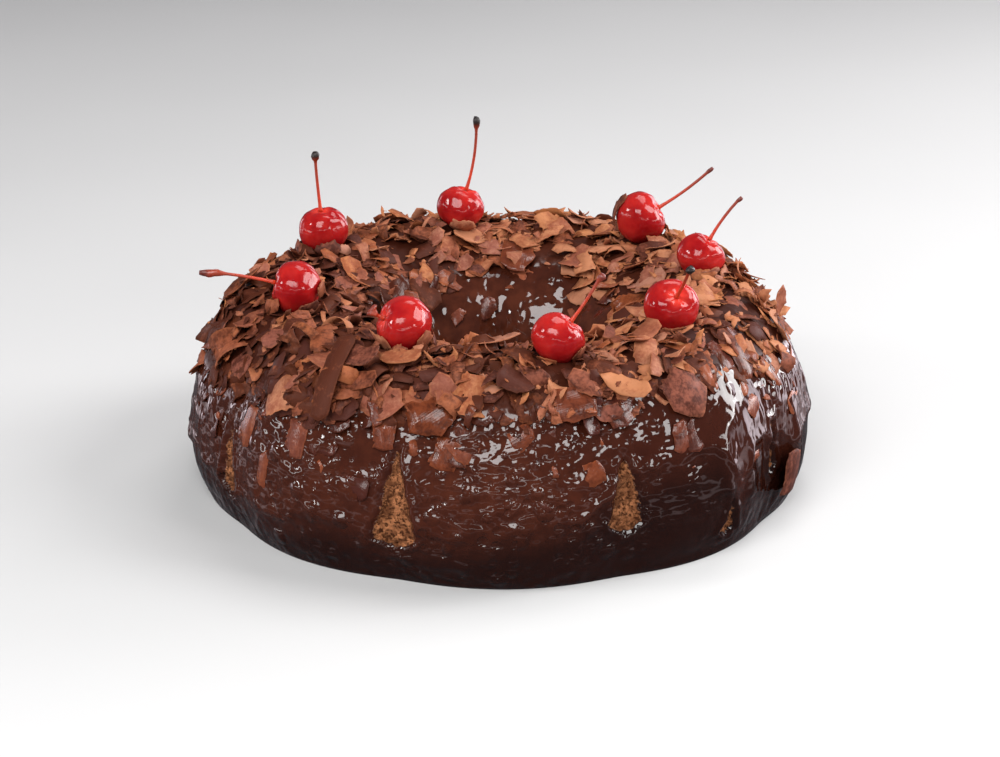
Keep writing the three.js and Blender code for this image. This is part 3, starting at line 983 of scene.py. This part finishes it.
class Blank:
    """A flat chip as arrays: points, faces, the points on its torn rim and the faces that are flat."""

    def __init__(self, cells_long, cells_wide, breaks, raggedness, reaches, skew=BREAK_SKEW):
        bm = bmesh.new()
        bmesh.ops.create_grid(bm, x_segments=cells_long, y_segments=cells_wide, size=0.5)
        turns = 2 * np.pi * (np.arange(breaks) + dice.uniform(-skew, skew, breaks)) / breaks
        distances = dice.uniform(*reaches, breaks)
        for point in bm.verts:
            inward = 2 * max(abs(point.co.x), abs(point.co.y))
            way = math.atan2(point.co.y, point.co.x)
            reach = min(np.min(distances / np.maximum(np.cos(way - turns), 0.05)), FURTHEST_REACH)
            if point.is_boundary:
                side = 2 if abs(point.co.x) > END else int(point.co.y <= 0)
                reach *= 1 + TORN_SHARES[side] * dice.uniform(-raggedness, raggedness)
            point.co = (inward * reach * math.cos(way), inward * reach * math.sin(way), 0)
        extruded = bmesh.ops.extrude_face_region(bm, geom=bm.faces[:], use_keep_orig=True)["geom"]
        lifted = [part for part in extruded if isinstance(part, bmesh.types.BMVert)]
        bmesh.ops.translate(bm, vec=(0, 0, 1), verts=lifted)
        bmesh.ops.translate(bm, vec=(0, 0, -0.5), verts=bm.verts[:])
        bmesh.ops.recalc_face_normals(bm, faces=bm.faces[:])
        bm.verts.index_update()
        self.points = np.array([point.co for point in bm.verts])
        self.faces = np.array([[point.index for point in face.verts] for face in bm.faces])
        self.flat = np.array([abs(face.normal.z) > 0.5 for face in bm.faces])
        self.rim = np.isin(np.arange(len(self.points)), self.faces[~self.flat]).astype(float)
        bm.free()


# cells along and across, breaks, raggedness and the breaks' distances from the middle
BROAD_BLANKS = [Blank(12, 2, dice.integers(4, 7), 0.16, (0.28, 0.52)) for _ in range(20)]
SHEET_BLANKS = [Blank(12, 2, dice.integers(4, 6), 0.13, (0.36, 0.52)) for _ in range(10)]
SMALL_BLANKS = [Blank(6, 1, dice.integers(3, 6), 0.16, (0.27, 0.52)) for _ in range(14)]
CURL_BLANKS = [Blank(14, 1, 4, 0.08, (0.36, 0.52)) for _ in range(8)]
print("faces in the blanks:", *(len(blanks[0].faces) for blanks in (BROAD_BLANKS, SMALL_BLANKS, CURL_BLANKS)))

# %% [markdown]
# ## Shavings: bending and stamping
#
# A stamp scales a blank to size, rolls it round a cylinder and gives it a twist. The roll is what makes a
# chip look shaved: a tight roll gives a curl, a wide one a curved flake.

# %% Bend a blank
RIM_THICKNESS = 0.55  # a chip's thickness at its torn rim, over that in its middle


def bent_chip(blank, length, width, thickness, bend_radius, twist=0.0, dish=0.0):
    """The blank's points at real size, dished, twisted and rolled along its length, in millimetres."""
    along, across, through = (blank.points * (length, width, thickness)).T
    through = through * np.where(blank.rim > 0, RIM_THICKNESS, 1) + dish * across**2 / width
    turn = twist * along / length
    twisted = across * np.cos(turn) - through * np.sin(turn)
    inner = bend_radius - (across * np.sin(turn) + through * np.cos(turn))
    roll = along / bend_radius
    return np.stack([inner * np.sin(roll), twisted, bend_radius - inner * np.cos(roll)], axis=1)


def chip_turn(angle, outward, heading, tilt, roll):
    """Lays a chip on the ring, heading 0 being round it and 90 up its side, then tips it up."""
    around = Vector((math.cos(math.radians(angle)), math.sin(math.radians(angle)), 0))
    lay = Matrix((around, Vector(outward).cross(around), Vector(outward))).transposed()
    tip = Matrix.Rotation(heading, 3, "Z") @ Matrix.Rotation(-tilt, 3, "Y") @ Matrix.Rotation(roll, 3, "X")
    return np.array(lay @ tip)


print("stamping is ready")

# %% [markdown]
# ## Shavings: building the heap
#
# Chips that were dropped at random would cut through each other. So the heap is built like a real one: a
# map of the ring's surface remembers how high the heap is at each place, each new chip comes to rest on
# what is below it, and the map rises under it. Chips that would stick into a cherry or a stem are dropped
# again somewhere else.

# %% The heap's map
HEAP_COLUMNS = 400
HEAP_ROWS = 140
HEAP_RISE = 0.55  # how much of a chip's height the heap keeps
CHIP_SINK = 0.5
HEADROOM = 7  # how far a chip may stand above the heap
RESTING_SHARE = 0.86  # the share of a chip's points that come to lie above the heap
CHERRY_BITE = 0.3  # how far a chip may press into a cherry
STEM_ROOM = 1.3  # how near a chip may come to a stem's middle line
SAMPLED = np.linspace(0, len(OUTLINE) - 1, 160).astype(int)

heap = np.zeros((HEAP_COLUMNS, HEAP_ROWS))
cherry_middles = np.array([cherry_matrix(number).translation for number in range(1, len(CHERRIES) + 1)]) / MM
cherry_radii = np.array([row[0] / 2 for row in CHERRIES])
stem_points = np.array(
    [cherry_matrix(k) @ (p * MM) for k in range(1, len(CHERRIES) + 1) for p in stem_path(k)]
) / MM


def heap_cell(points):
    """The heap's column and row under each point, from its angle and the nearest place on the outline."""
    angle = np.degrees(np.arctan2(points[:, 0], -points[:, 1])) % 360
    section = np.stack([np.hypot(points[:, 0], points[:, 1]), points[:, 2]], axis=1)
    nearest = np.linalg.norm(section[:, None] - OUTLINE[SAMPLED][None], axis=2).argmin(1)
    column = (angle / 360 * HEAP_COLUMNS).astype(int) % HEAP_COLUMNS
    row = np.minimum(OUTLINE_SHARE[SAMPLED][nearest] * HEAP_ROWS, HEAP_ROWS - 1).astype(int)
    return column, row


def above_ring(points):
    """The height of each point above the glaze, in millimetres."""
    heights = []
    for point in points:
        place, outward, _, _ = ring_skin.find_nearest(Vector(point) * MM)
        heights.append((Vector(point) * MM - place).dot(outward) / MM)
    return np.array(heights)


def hits_cherry(points):
    """True if the chip would stick into a cherry or a stem."""
    inside = np.linalg.norm(points[:, None] - cherry_middles[None], axis=2) < cherry_radii - CHERRY_BITE
    near_stem = np.linalg.norm(points[:, None] - stem_points[None], axis=2) < STEM_ROOM
    return inside.any() or near_stem.any()


def drop_chip(chip, angle, share, heading, tilt, roll, sink=CHIP_SINK, headroom=HEADROOM):
    """The chip's points once it has come to rest on the heap, or None where it sticks up or hits a cherry."""
    place, outward = ring_surface(np.array([angle]), np.array([share]))
    points = chip @ chip_turn(angle, outward[0], heading, tilt, roll).T + place[0]
    column, row = heap_cell(points)
    height = above_ring(points)
    lift = np.quantile(heap[column, row] - height, RESTING_SHARE) - sink
    points = points + lift * outward[0]
    top = height + lift
    if (top - heap[column, row]).max() > headroom or hits_cherry(points):
        return None
    np.maximum.at(heap, (column, row), heap[column, row] + HEAP_RISE * (top - heap[column, row]))
    return points


print("heap map of", heap.size, "cells")


# %% Join the chips of one kind
class ChipPile:
    """Gathers stamped chips, then joins them into one mesh."""

    def __init__(self):
        self.points, self.faces, self.smooth = [], [], []
        self.rim, self.tone, self.warmth, self.grain = [], [], [], []
        self.count = 0

    def add(self, blank, points, tone):
        """Adds a chip with its tone and a random warmth of colour."""
        self.faces.append(blank.faces + sum(len(p) for p in self.points))
        self.points.append(points)
        self.smooth.append(blank.flat)
        self.rim.append(blank.rim)
        self.tone.append(np.full(len(points), tone))
        self.warmth.append(np.full(len(points), dice.uniform()))
        self.grain.append(blank.points[:, 1] + self.count)
        self.count += 1

    def mesh(self, name):
        """All chips in one mesh, with what their material reads."""
        mesh = bpy.data.meshes.new(name)
        points = np.concatenate(self.points) * MM
        faces = np.concatenate(self.faces)
        mesh.from_pydata(points.tolist(), [], faces.tolist())
        mesh.polygons.foreach_set("use_smooth", np.concatenate(self.smooth))
        for layer in ("rim", "tone", "warmth", "grain"):
            store(mesh, layer, np.concatenate(getattr(self, layer)))
        mesh.update()
        return mesh


print("piles are ready")

# %% [markdown]
# ## Shavings: the drop
#
# The heap's edges wander round the ring, so each is a short table of shares by angle, and so is how pale
# its chips are, which paints light and shade on the heap's sides. Dark flat chips fall first and close the
# gaps, and their darkness is painted shade between the chips that fall on them. Then paler ones fall in
# turns, small ones under and between the broad ones, and last the crumbs. A few chips lie at the heap's
# edges and further down the side, deep in the glaze, which wets them. They go to a pile of their own.

# %% Where the shavings may lie
# the shares at which the heap starts on the outer side and ends on the inner side, by angle
HEAP_OUTER = (
    (-90, -65, -45, -32, -9, 10, 29, 48, 58, 75, 100, 140, 180, 220, 250),
    (0.25, 0.25, 0.275, 0.29, 0.325, 0.315, 0.33, 0.345, 0.32, 0.29, 0.29, 0.30, 0.33, 0.30, 0.28),
)
HEAP_INNER = ((-150, -110, -60, 0, 60, 110, 150, 180), (0.68, 0.72, 0.70, 0.67, 0.67, 0.68, 0.65, 0.64))
# how pale the chips are on average, by angle: painted light, palest on the far and right side and darkest on
# the left
PAINTED_LIGHT_BY_ANGLE = (
    (-130, -90, -45, -15, 0, 35, 60, 110, 180),
    (0.46, 0.25, 0.25, 0.34, 0.37, 0.60, 0.77, 0.82, 0.76),
)
TONE_SPREAD = 0.30
# the shares below and above which chips get darker, and how fast; the darkening above, deep in the hole, is
# painted shade
DARK_BELOW = (0.42, 1.1)
PAINTED_HOLE_SHADE = (0.60, 1.6)
# the share, past the heap's outer edge and on the hole's wall, where chips are wet, and how far that varies
WET_EDGE = (0.008, 0.02)
WET_WALL = (0.67, 0.03)
SIDE_FOOT = 0.15
# how far below the outer edge the edge's chips reach at least, further down where thin, and above it
EDGE_REACH = (0.02, 0.05, 0.03)
HOLE_BAND = (0.66, 0.80)
TONGUE_MARGIN = 4


def by_angle(angle, angles, values):
    """The value at this angle, from a table that goes once round the ring."""
    return np.interp(angle, angles, values, period=360)


def chip_tone(angle, share, shade):
    """A random tone from 0, dark, to 1, pale. Chips on the crown's far side are the palest, and the tone by
    angle is painted light; chips deep in the hole are painted darker, as painted shade.
    """
    middle = by_angle(angle, *PAINTED_LIGHT_BY_ANGLE)
    darker = DARK_BELOW[1] * max(0.0, DARK_BELOW[0] - share)
    middle -= darker + PAINTED_HOLE_SHADE[1] * max(0.0, share - PAINTED_HOLE_SHADE[0])
    return float(np.clip(dice.normal(middle + shade, TONE_SPREAD), 0, 1))


def lies_wet(angle, share):
    """True for most chips that lie at the heap's edges or below them, where the glaze wets them."""
    edge = by_angle(angle, *HEAP_OUTER) + WET_EDGE[0]
    return share + dice.normal(0, WET_EDGE[1]) < edge or share + dice.normal(0, WET_WALL[1]) > WET_WALL[0]


def heap_band(angle):
    """The shares between which the heap lies at this angle."""
    return by_angle(angle, *HEAP_OUTER), by_angle(angle, *HEAP_INNER)


def side_band(angle):
    """The shares of the outer side, below the heap."""
    return SIDE_FOOT, by_angle(angle, *HEAP_OUTER)


def edge_band(angle):
    """The shares just below the heap's outer edge, further down where the coat is thin."""
    edge = by_angle(angle, *HEAP_OUTER)
    below, further, above = EDGE_REACH
    return edge - below - further * by_angle(angle, LOBE_MIDDLES, LOBE_THINNESS), edge + above


def hole_band(angle):
    """The shares of the hole's upper wall."""
    return HOLE_BAND


def on_tongue(angle, share):
    """True where a chip would hide a tongue of bare sponge."""
    place, _ = ring_surface(np.array([angle]), np.array([share]))
    return tongue_field(np.array([angle]), place[:, 2], np.hypot(*place[:, :2].T))[0] > -TONGUE_MARGIN


print("the heap's edges:", len(HEAP_OUTER[0]), "places outside and", len(HEAP_INNER[0]), "inside")

# %% Drop the shavings
CHIP_THICKNESS = (0.25, 0.5)
CHIP_DISH = 0.35
CHIP_ROLL = 0.25
TRIES = 6
HEAP_LEAN = (1, 1.35)  # the two shapes of a beta curve, by which chips crowd a little towards the outer edge
# chips lie flat on the outer side and stand up freely beyond these shares
STEEP_SHARES = (0.32, 0.42)
FLATTEST = 0.3
LAYERS = 3


def drop_many(pile, blanks, count, lengths, slimness, bends, band, tilts, twist, shade=0.0, sink=CHIP_SINK):
    """Drops that many chips of one kind evenly over a band of the ring."""
    for _ in range(count):
        blank = blanks[dice.integers(len(blanks))]
        length = dice.uniform(*lengths)
        width = length * dice.uniform(*slimness)
        bend = dice.uniform(*bends) * dice.choice([-1, 1])
        thickness = dice.uniform(*CHIP_THICKNESS)
        chip_twist = dice.normal(0, twist)
        chip = bent_chip(blank, length, width, thickness, bend, chip_twist, dice.normal(0, CHIP_DISH))
        for _ in range(TRIES):
            angle = dice.uniform(0, 360)
            start, end = band(angle)
            share = start + (end - start) * dice.beta(*HEAP_LEAN)
            if on_tongue(angle, share):
                continue
            steepness = FLATTEST + (1 - FLATTEST) * step_up(share, *STEEP_SHARES)
            tilt = abs(dice.normal(0, math.radians(tilts))) * steepness
            turn = dice.uniform(0, 2 * math.pi)
            points = drop_chip(chip, angle, share, turn, tilt, dice.normal(0, CHIP_ROLL) * steepness, sink)
            if points is not None:
                home = sunken if lies_wet(angle, share) else pile
                home.add(blank, points, chip_tone(angle, share, shade))
                break


broad, small, curls, sunken = ChipPile(), ChipPile(), ChipPile(), ChipPile()
# how many, lengths, widths over lengths, bend radii, where, tilt in degrees, twist, shade and sink
drop_many(small, SMALL_BLANKS, 60, (3, 8), (0.4, 0.8), (25, 60), side_band, 3, 0.1, 0, 0.8)
drop_many(broad, BROAD_BLANKS, 18, (8, 14), (0.45, 0.8), (30, 70), side_band, 3, 0.1, 0, 0.8)
drop_many(small, SMALL_BLANKS, 120, (3, 9), (0.4, 0.8), (15, 60), edge_band, 5, 0.2, 0, 0.8)
drop_many(broad, BROAD_BLANKS, 60, (8, 17), (0.45, 0.8), (20, 60), edge_band, 5, 0.2, 0, 0.8)
drop_many(broad, BROAD_BLANKS, 40, (9, 18), (0.45, 0.8), (20, 60), hole_band, 6, 0.2, 0.1, 0.8)
# the first broad chips on the heap are darkened by a shade of -0.32: painted shade that shows in the gaps
# between the chips above them
drop_many(broad, BROAD_BLANKS, 470, (11, 18), (0.45, 0.8), (20, 60), heap_band, 6, 0.2, -0.32)
for _ in range(LAYERS):
    drop_many(small, SMALL_BLANKS, 240, (4, 10), (0.35, 0.8), (4, 20), heap_band, 28, 0.6)
    drop_many(broad, BROAD_BLANKS, 90, (8, 13), (0.45, 0.85), (5, 20), heap_band, 26, 0.8)
    drop_many(broad, SHEET_BLANKS, 58, (11, 20), (0.4, 0.75), (9, 30), heap_band, 18, 0.8)
    drop_many(curls, CURL_BLANKS, 30, (12, 22), (0.14, 0.34), (4, 12), heap_band, 18, 0.7)
drop_many(curls, CURL_BLANKS, 26, (10, 18), (0.06, 0.1), (4, 9), heap_band, 25, 0.8, 0.3)
drop_many(small, SMALL_BLANKS, 650, (1.5, 4), (0.4, 0.9), (5, 20), heap_band, 30, 0.4)

print("chips dropped:", broad.count, "broad,", small.count, "small and", curls.count, "curled")
print("heap's height up to", round(float(heap.max()), 1), "mm")

# %% Dull the glaze under the heap and deep in the hole, and paint shade there
COVER_FADE = 0.05
DEEP_WALL_SHADE = (0.78, 0.86)

heap_start, heap_end = heap_band(ring_angle)
past_start = step_up(ring_share, heap_start, heap_start + COVER_FADE)
before_end = step_up(-ring_share, -heap_end, COVER_FADE - heap_end)
# glaze under the heap and deep in the hole is made matte, and the dark tint of its reflection there is
# painted shade
matte_and_shaded = np.maximum(past_start * before_end, step_up(ring_share, *DEEP_WALL_SHADE))
store(ring_mesh, "matte_and_shaded", matte_and_shaded)
print("points of the ring that are covered:", int((matte_and_shaded > 0.5).sum()))

# %% [markdown]
# ## Shavings: round the cherries
#
# The cherries were pressed into the heap, so chips stand up round their feet and some stick to their
# syrup. A chip that leans is set beside the cherry, nearly upright. One that clings lies on the ball
# itself, bent round it.

# %% Lean chips on the cherries
LEANING = 12
CLING_GAP = 0.55
CLING_THICKNESS = 0.4
LEAN_LENGTHS = (8, 13)
LEAN_WIDTHS = (5, 7.5)
LEAN_BENDS = (9, 25)
LEAN_DEPTHS = (0.5, 0.75)  # how far below the cherry's middle the chips stand, over its radius
LEAN_OUT = 0.95  # how far out they stand, over its radius
LEAN_ELEVATIONS = (15, 50)
LEAN_REACH = 1.2
LEAN_JITTER = 0.4  # how far a chip may stand from its even place, over the spacing
LEAN_SPIN = 0.4
HEAP_MIDDLE = 0.5
# cherry, and the chip's azimuth and elevation on it, turn, length, width and tone, in degrees and millimetres
CLINGING = (
    (4, -80, 24, 80, 16, 8, 0.3),
    (7, 70, 5, 20, 9, 7, 0.45),
    (7, 35, -32, 10, 12, 9, 0.3),
    (8, -52, -24, 15, 14, 10, 0.7),
    (8, 52, -24, -20, 12, 10, 0.55),
    (5, 5, -34, 12, 14, 9, 0.8),
    (1, 56, -26, 20, 12, 10, 0.35),
    (1, -40, -40, 0, 12, 8, 0.5),
    (2, 10, -44, 10, 13, 8, 0.6),
    (3, 15, -38, 10, 11, 8, 0.8),
    (6, 25, -42, 0, 13, 8, 0.5),
)


def place_on_cherry(chip, middle, out, reach, spin):
    """The chip's points with its flat side towards the cherry's middle, at this reach from it."""
    along = Vector((0, 0, 1)).cross(out).normalized()
    lay = Matrix((along, out.cross(along), out)).transposed() @ Matrix.Rotation(spin, 3, "Z")
    return chip @ np.array(lay).T + middle + reach * np.array(out)


leaning = ChipPile()
for middle, radius in zip(cherry_middles, cherry_radii):
    for step in range(LEANING):
        azimuth = 360 * (step + dice.uniform(-LEAN_JITTER, LEAN_JITTER)) / LEANING
        blank = BROAD_BLANKS[dice.integers(len(BROAD_BLANKS))]
        length = dice.uniform(*LEAN_LENGTHS)
        width = dice.uniform(*LEAN_WIDTHS)
        chip = bent_chip(blank, length, width, CLING_THICKNESS, -dice.uniform(*LEAN_BENDS))
        foot = middle - (0, 0, radius * dice.uniform(*LEAN_DEPTHS))
        foot = foot + radius * LEAN_OUT * np.array(way_out(azimuth, 0))
        out = way_out(azimuth, dice.uniform(*LEAN_ELEVATIONS))
        points = place_on_cherry(chip, foot, out, LEAN_REACH, dice.normal(0, LEAN_SPIN))
        if not hits_cherry(points):
            leaning.add(blank, points, chip_tone(azimuth, HEAP_MIDDLE, 0))
for number, azimuth, elevation, turn, length, width, tone in CLINGING:
    radius = cherry_radii[number - 1]
    blank = BROAD_BLANKS[number]
    chip = bent_chip(blank, length, width, CLING_THICKNESS, -radius - CLING_GAP)
    out = way_out(azimuth, elevation)
    points = place_on_cherry(chip, cherry_middles[number - 1], out, radius + CLING_GAP, math.radians(turn))
    leaning.add(blank, points, tone)
print("chips round the cherries:", leaning.count)

# %% [markdown]
# ## Shavings: the large ones
#
# The eye knows a heap by its few large chips. These are placed one by one, after the heap, at their own
# angle and share of the outline, with their heading, tilt, size, bend and tone. The longest is a strip
# with straight sides, which hangs over the heap's edge on the left, so it gets a blank of its own.

# %% Place the large shavings
# angle, share, heading, tilt, length, width, bend, dish, tone, whether it is wet and its blank's number,
# in degrees and millimetres
LARGE_CHIPS = (
    (-34, 0.365, 98, 0, 38, 8.0, -50, 0.1, 0.06, False, 0),
    (37, 0.335, 40, 6, 20, 19, -30, -0.4, 0.3, False, 1),
    (-38.5, 0.25, 80, 3, 15, 11, -60, 0.0, 0.6, True, 2),
    (66.5, 0.095, 80, 2, 22, 22, -70, -0.2, 0.2, False, 3),
    (16, 0.22, 20, 2, 12, 10, -60, 0.0, 0.5, True, 4),
    (88, 0.36, 60, 50, 14, 12, 20, 0.3, 0.5, False, 5),
    (-169, 0.55, 20, 16, 20, 13, 14, 0.4, 0.95, False, 6),
    (58, 0.365, 72, 3, 27, 10, -60, -0.2, 0.3, True, 8),
    (52, 0.375, 78, 3, 16, 10, -60, -0.2, 0.35, True, 9),
    (-9.5, 0.26, 70, 2, 13, 10, -60, 0.0, 0.4, True, 0),
    (-52, 0.235, 75, 2, 20, 9, -60, 0.0, 0.6, True, 1),
    (-46, 0.16, 80, 2, 20, 6, -60, 0.0, 0.6, True, 2),
    (4, 0.295, 30, 2, 11, 9, -60, 0.0, 0.4, True, 3),
    (13.5, 0.345, 10, 3, 21, 15, -45, 0.0, 0.4, True, 4),
    (-13, 0.325, 40, 3, 22, 15, -45, 0.2, 0.38, True, 5),
    (-21, 0.29, 85, 3, 17, 9, -45, 0.2, 0.4, True, 6),
    (34.5, 0.258, 75, 3, 14, 9, -60, 0.0, 0.35, True, 7),
    (-2, 0.52, 5, 10, 24, 12, 40, 0.4, 0.85, False, 9),
    (-30, 0.408, 0, 10, 15, 10, 25, 0.2, 0.25, False, 0),
    (-22, 0.432, 0, 8, 20, 9, 30, 0.3, 0.65, False, 1),
    (37.5, 0.468, 10, 10, 25, 11, 16, 0.6, 0.55, False, 3),
    (25, 0.362, -35, 14, 22, 9, 14, 0.6, 0.95, False, 4),
    (-9.5, 0.555, -20, 30, 12.5, 12, 2.2, 0.0, 0.5, False, 5),
    (174, 0.60, 85, 6, 26, 14, -40, 0.2, 0.5, True, 6),
    (-136, 0.68, 80, 8, 20, 13, -40, 0.2, 0.1, False, 7),
    (-91, 0.40, 60, 10, 26, 18, 40, 0.2, 0.3, False, 8),
)
LARGE_HEADROOM = 25
STRIP_SLIMNESS = 4
STRIP_LIFT = 3.0
LARGE_LIFT = 0.8
LARGE_THICKNESS = 0.6
strip_blank = Blank(16, 2, 4, 0.07, (0.48, 0.52), skew=0.03)
large = ChipPile()
placed = 0
for angle, share, heading, tilt, length, width, bend, dish, tone, wet, number in LARGE_CHIPS:
    is_strip = length > STRIP_SLIMNESS * width
    blank = strip_blank if is_strip else SHEET_BLANKS[number]
    chip = bent_chip(blank, length, width, LARGE_THICKNESS, bend, 0.0, dish)
    lift = STRIP_LIFT if is_strip else LARGE_LIFT
    sink = CHIP_SINK if wet else -lift
    turns = math.radians(heading), math.radians(tilt), 0.0
    points = drop_chip(chip, angle, share, *turns, sink, LARGE_HEADROOM)
    if points is not None:
        home = sunken if wet else large
        home.add(blank, points, tone)
        placed += 1
print("large chips placed:", placed, "of", len(LARGE_CHIPS))

# %% [markdown]
# ## Chocolate of the shavings
#
# Scraped chocolate is matte and mottled, with fine scratches along the scrape and pale torn edges. No two
# chips have the same tone, so each carries a number for it, and another for how warm its brown is. Chips
# that lie in the glaze are wet: darker, redder and glossy. Both kinds come from one recipe with other
# colours and another gloss.

# %% Mix the shavings' chocolate
# dark, middle and pale chocolate, and torn edges
DRY_TONES = (
    (0.072, 0.018, 0.0095, 1),
    (0.25, 0.072, 0.037, 1),
    (0.42, 0.170, 0.088, 1),
    (0.42, 0.140, 0.055, 1),
)
WET_TONES = (
    (0.060, 0.014, 0.008, 1),
    (0.145, 0.035, 0.017, 1),
    (0.27, 0.078, 0.037, 1),
    (0.29, 0.074, 0.028, 1),
)
COOL_HUE = (0.90, 0.98, 1.25, 1)
WARM_HUE = (1.08, 1.02, 0.75, 1)
DRY_ROUGHNESS = (0.42, 0.62)
WET_ROUGHNESS = (0.12, 0.24)
DRY_SPECULAR = 0.1
WET_SPECULAR = 0.32
PATCHES = (0.004, 0.14)  # size in metres and how far the tone varies
SPECKLES = (0.0011, 0.1)
GLOSS_SIZE = 0.005
GRAIN_SIZE = 0.0016
SCRATCHES_ACROSS = 24.0
SCRATCH_BUMP = (0.22, 0.0005)


def shaving_finish(name, tones, gloss, specular):
    """Chocolate in dark, middle and pale tones with torn edges, in a range of roughness."""
    dark, middle, pale, edge = tones
    material, tree, shader, coordinates = new_material(name)
    patchiness = remap(tree, blobs(tree, coordinates, PATCHES[0]), 0.3, 0.7, -PATCHES[1], PATCHES[1])
    along_scrape = {"W": attribute(tree, "grain"), "Scale": SCRATCHES_ACROSS, "Detail": 2.0}
    scratches = add_node(tree, "ShaderNodeTexNoise", along_scrape, noise_dimensions="1D").outputs["Fac"]
    speckle = remap(tree, blobs(tree, coordinates, SPECKLES[0]), 0.3, 0.7, -SPECKLES[1], SPECKLES[1])
    tone = calculate(tree, "ADD", attribute(tree, "tone"), calculate(tree, "ADD", patchiness, speckle))
    colour = mix_colours(tree, remap(tree, tone, 0.1, 0.55), dark, middle)
    colour = mix_colours(tree, remap(tree, tone, 0.5, 1.0), colour, pale)
    hue = mix_colours(tree, attribute(tree, "warmth"), COOL_HUE, WARM_HUE)
    colour = mix_colours(tree, 1.0, colour, hue, "MULTIPLY")
    rim = remap(tree, attribute(tree, "rim"), 0.8, 1.0)
    torn = calculate(tree, "MULTIPLY", rim, remap(tree, tone, 0.1, 0.7, 0.05, 0.4))
    plug(tree, mix_colours(tree, torn, colour, edge), shader.inputs["Base Color"])
    glossiness = blobs(tree, coordinates, GLOSS_SIZE)
    plug(tree, remap(tree, glossiness, 0.3, 0.7, *gloss), shader.inputs["Roughness"])
    shader.inputs["Specular IOR Level"].default_value = specular
    relief = calculate(tree, "ADD", scratches, blobs(tree, coordinates, GRAIN_SIZE, 2))
    strength, depth = SCRATCH_BUMP
    bump = add_node(tree, "ShaderNodeBump", {"Strength": strength, "Distance": depth, "Height": relief})
    plug(tree, bump.outputs["Normal"], shader.inputs["Normal"])
    return material


dry_chocolate = shaving_finish("scraped_chocolate", DRY_TONES, DRY_ROUGHNESS, DRY_SPECULAR)
wet_chocolate = shaving_finish("soaked_chocolate", WET_TONES, WET_ROUGHNESS, WET_SPECULAR)
piles = {
    "broad_shavings": (broad, dry_chocolate),
    "small_shavings": (small, dry_chocolate),
    "curled_shavings": (curls, dry_chocolate),
    "large_shavings": (large, dry_chocolate),
    "leaning_shavings": (leaning, dry_chocolate),
    "sunken_shavings": (sunken, wet_chocolate),
}
for name, (pile, chocolate) in piles.items():
    piece = finish_piece(name, pile.mesh(name), chocolate, "cake")
    print(name, "faces:", len(piece.data.polygons))
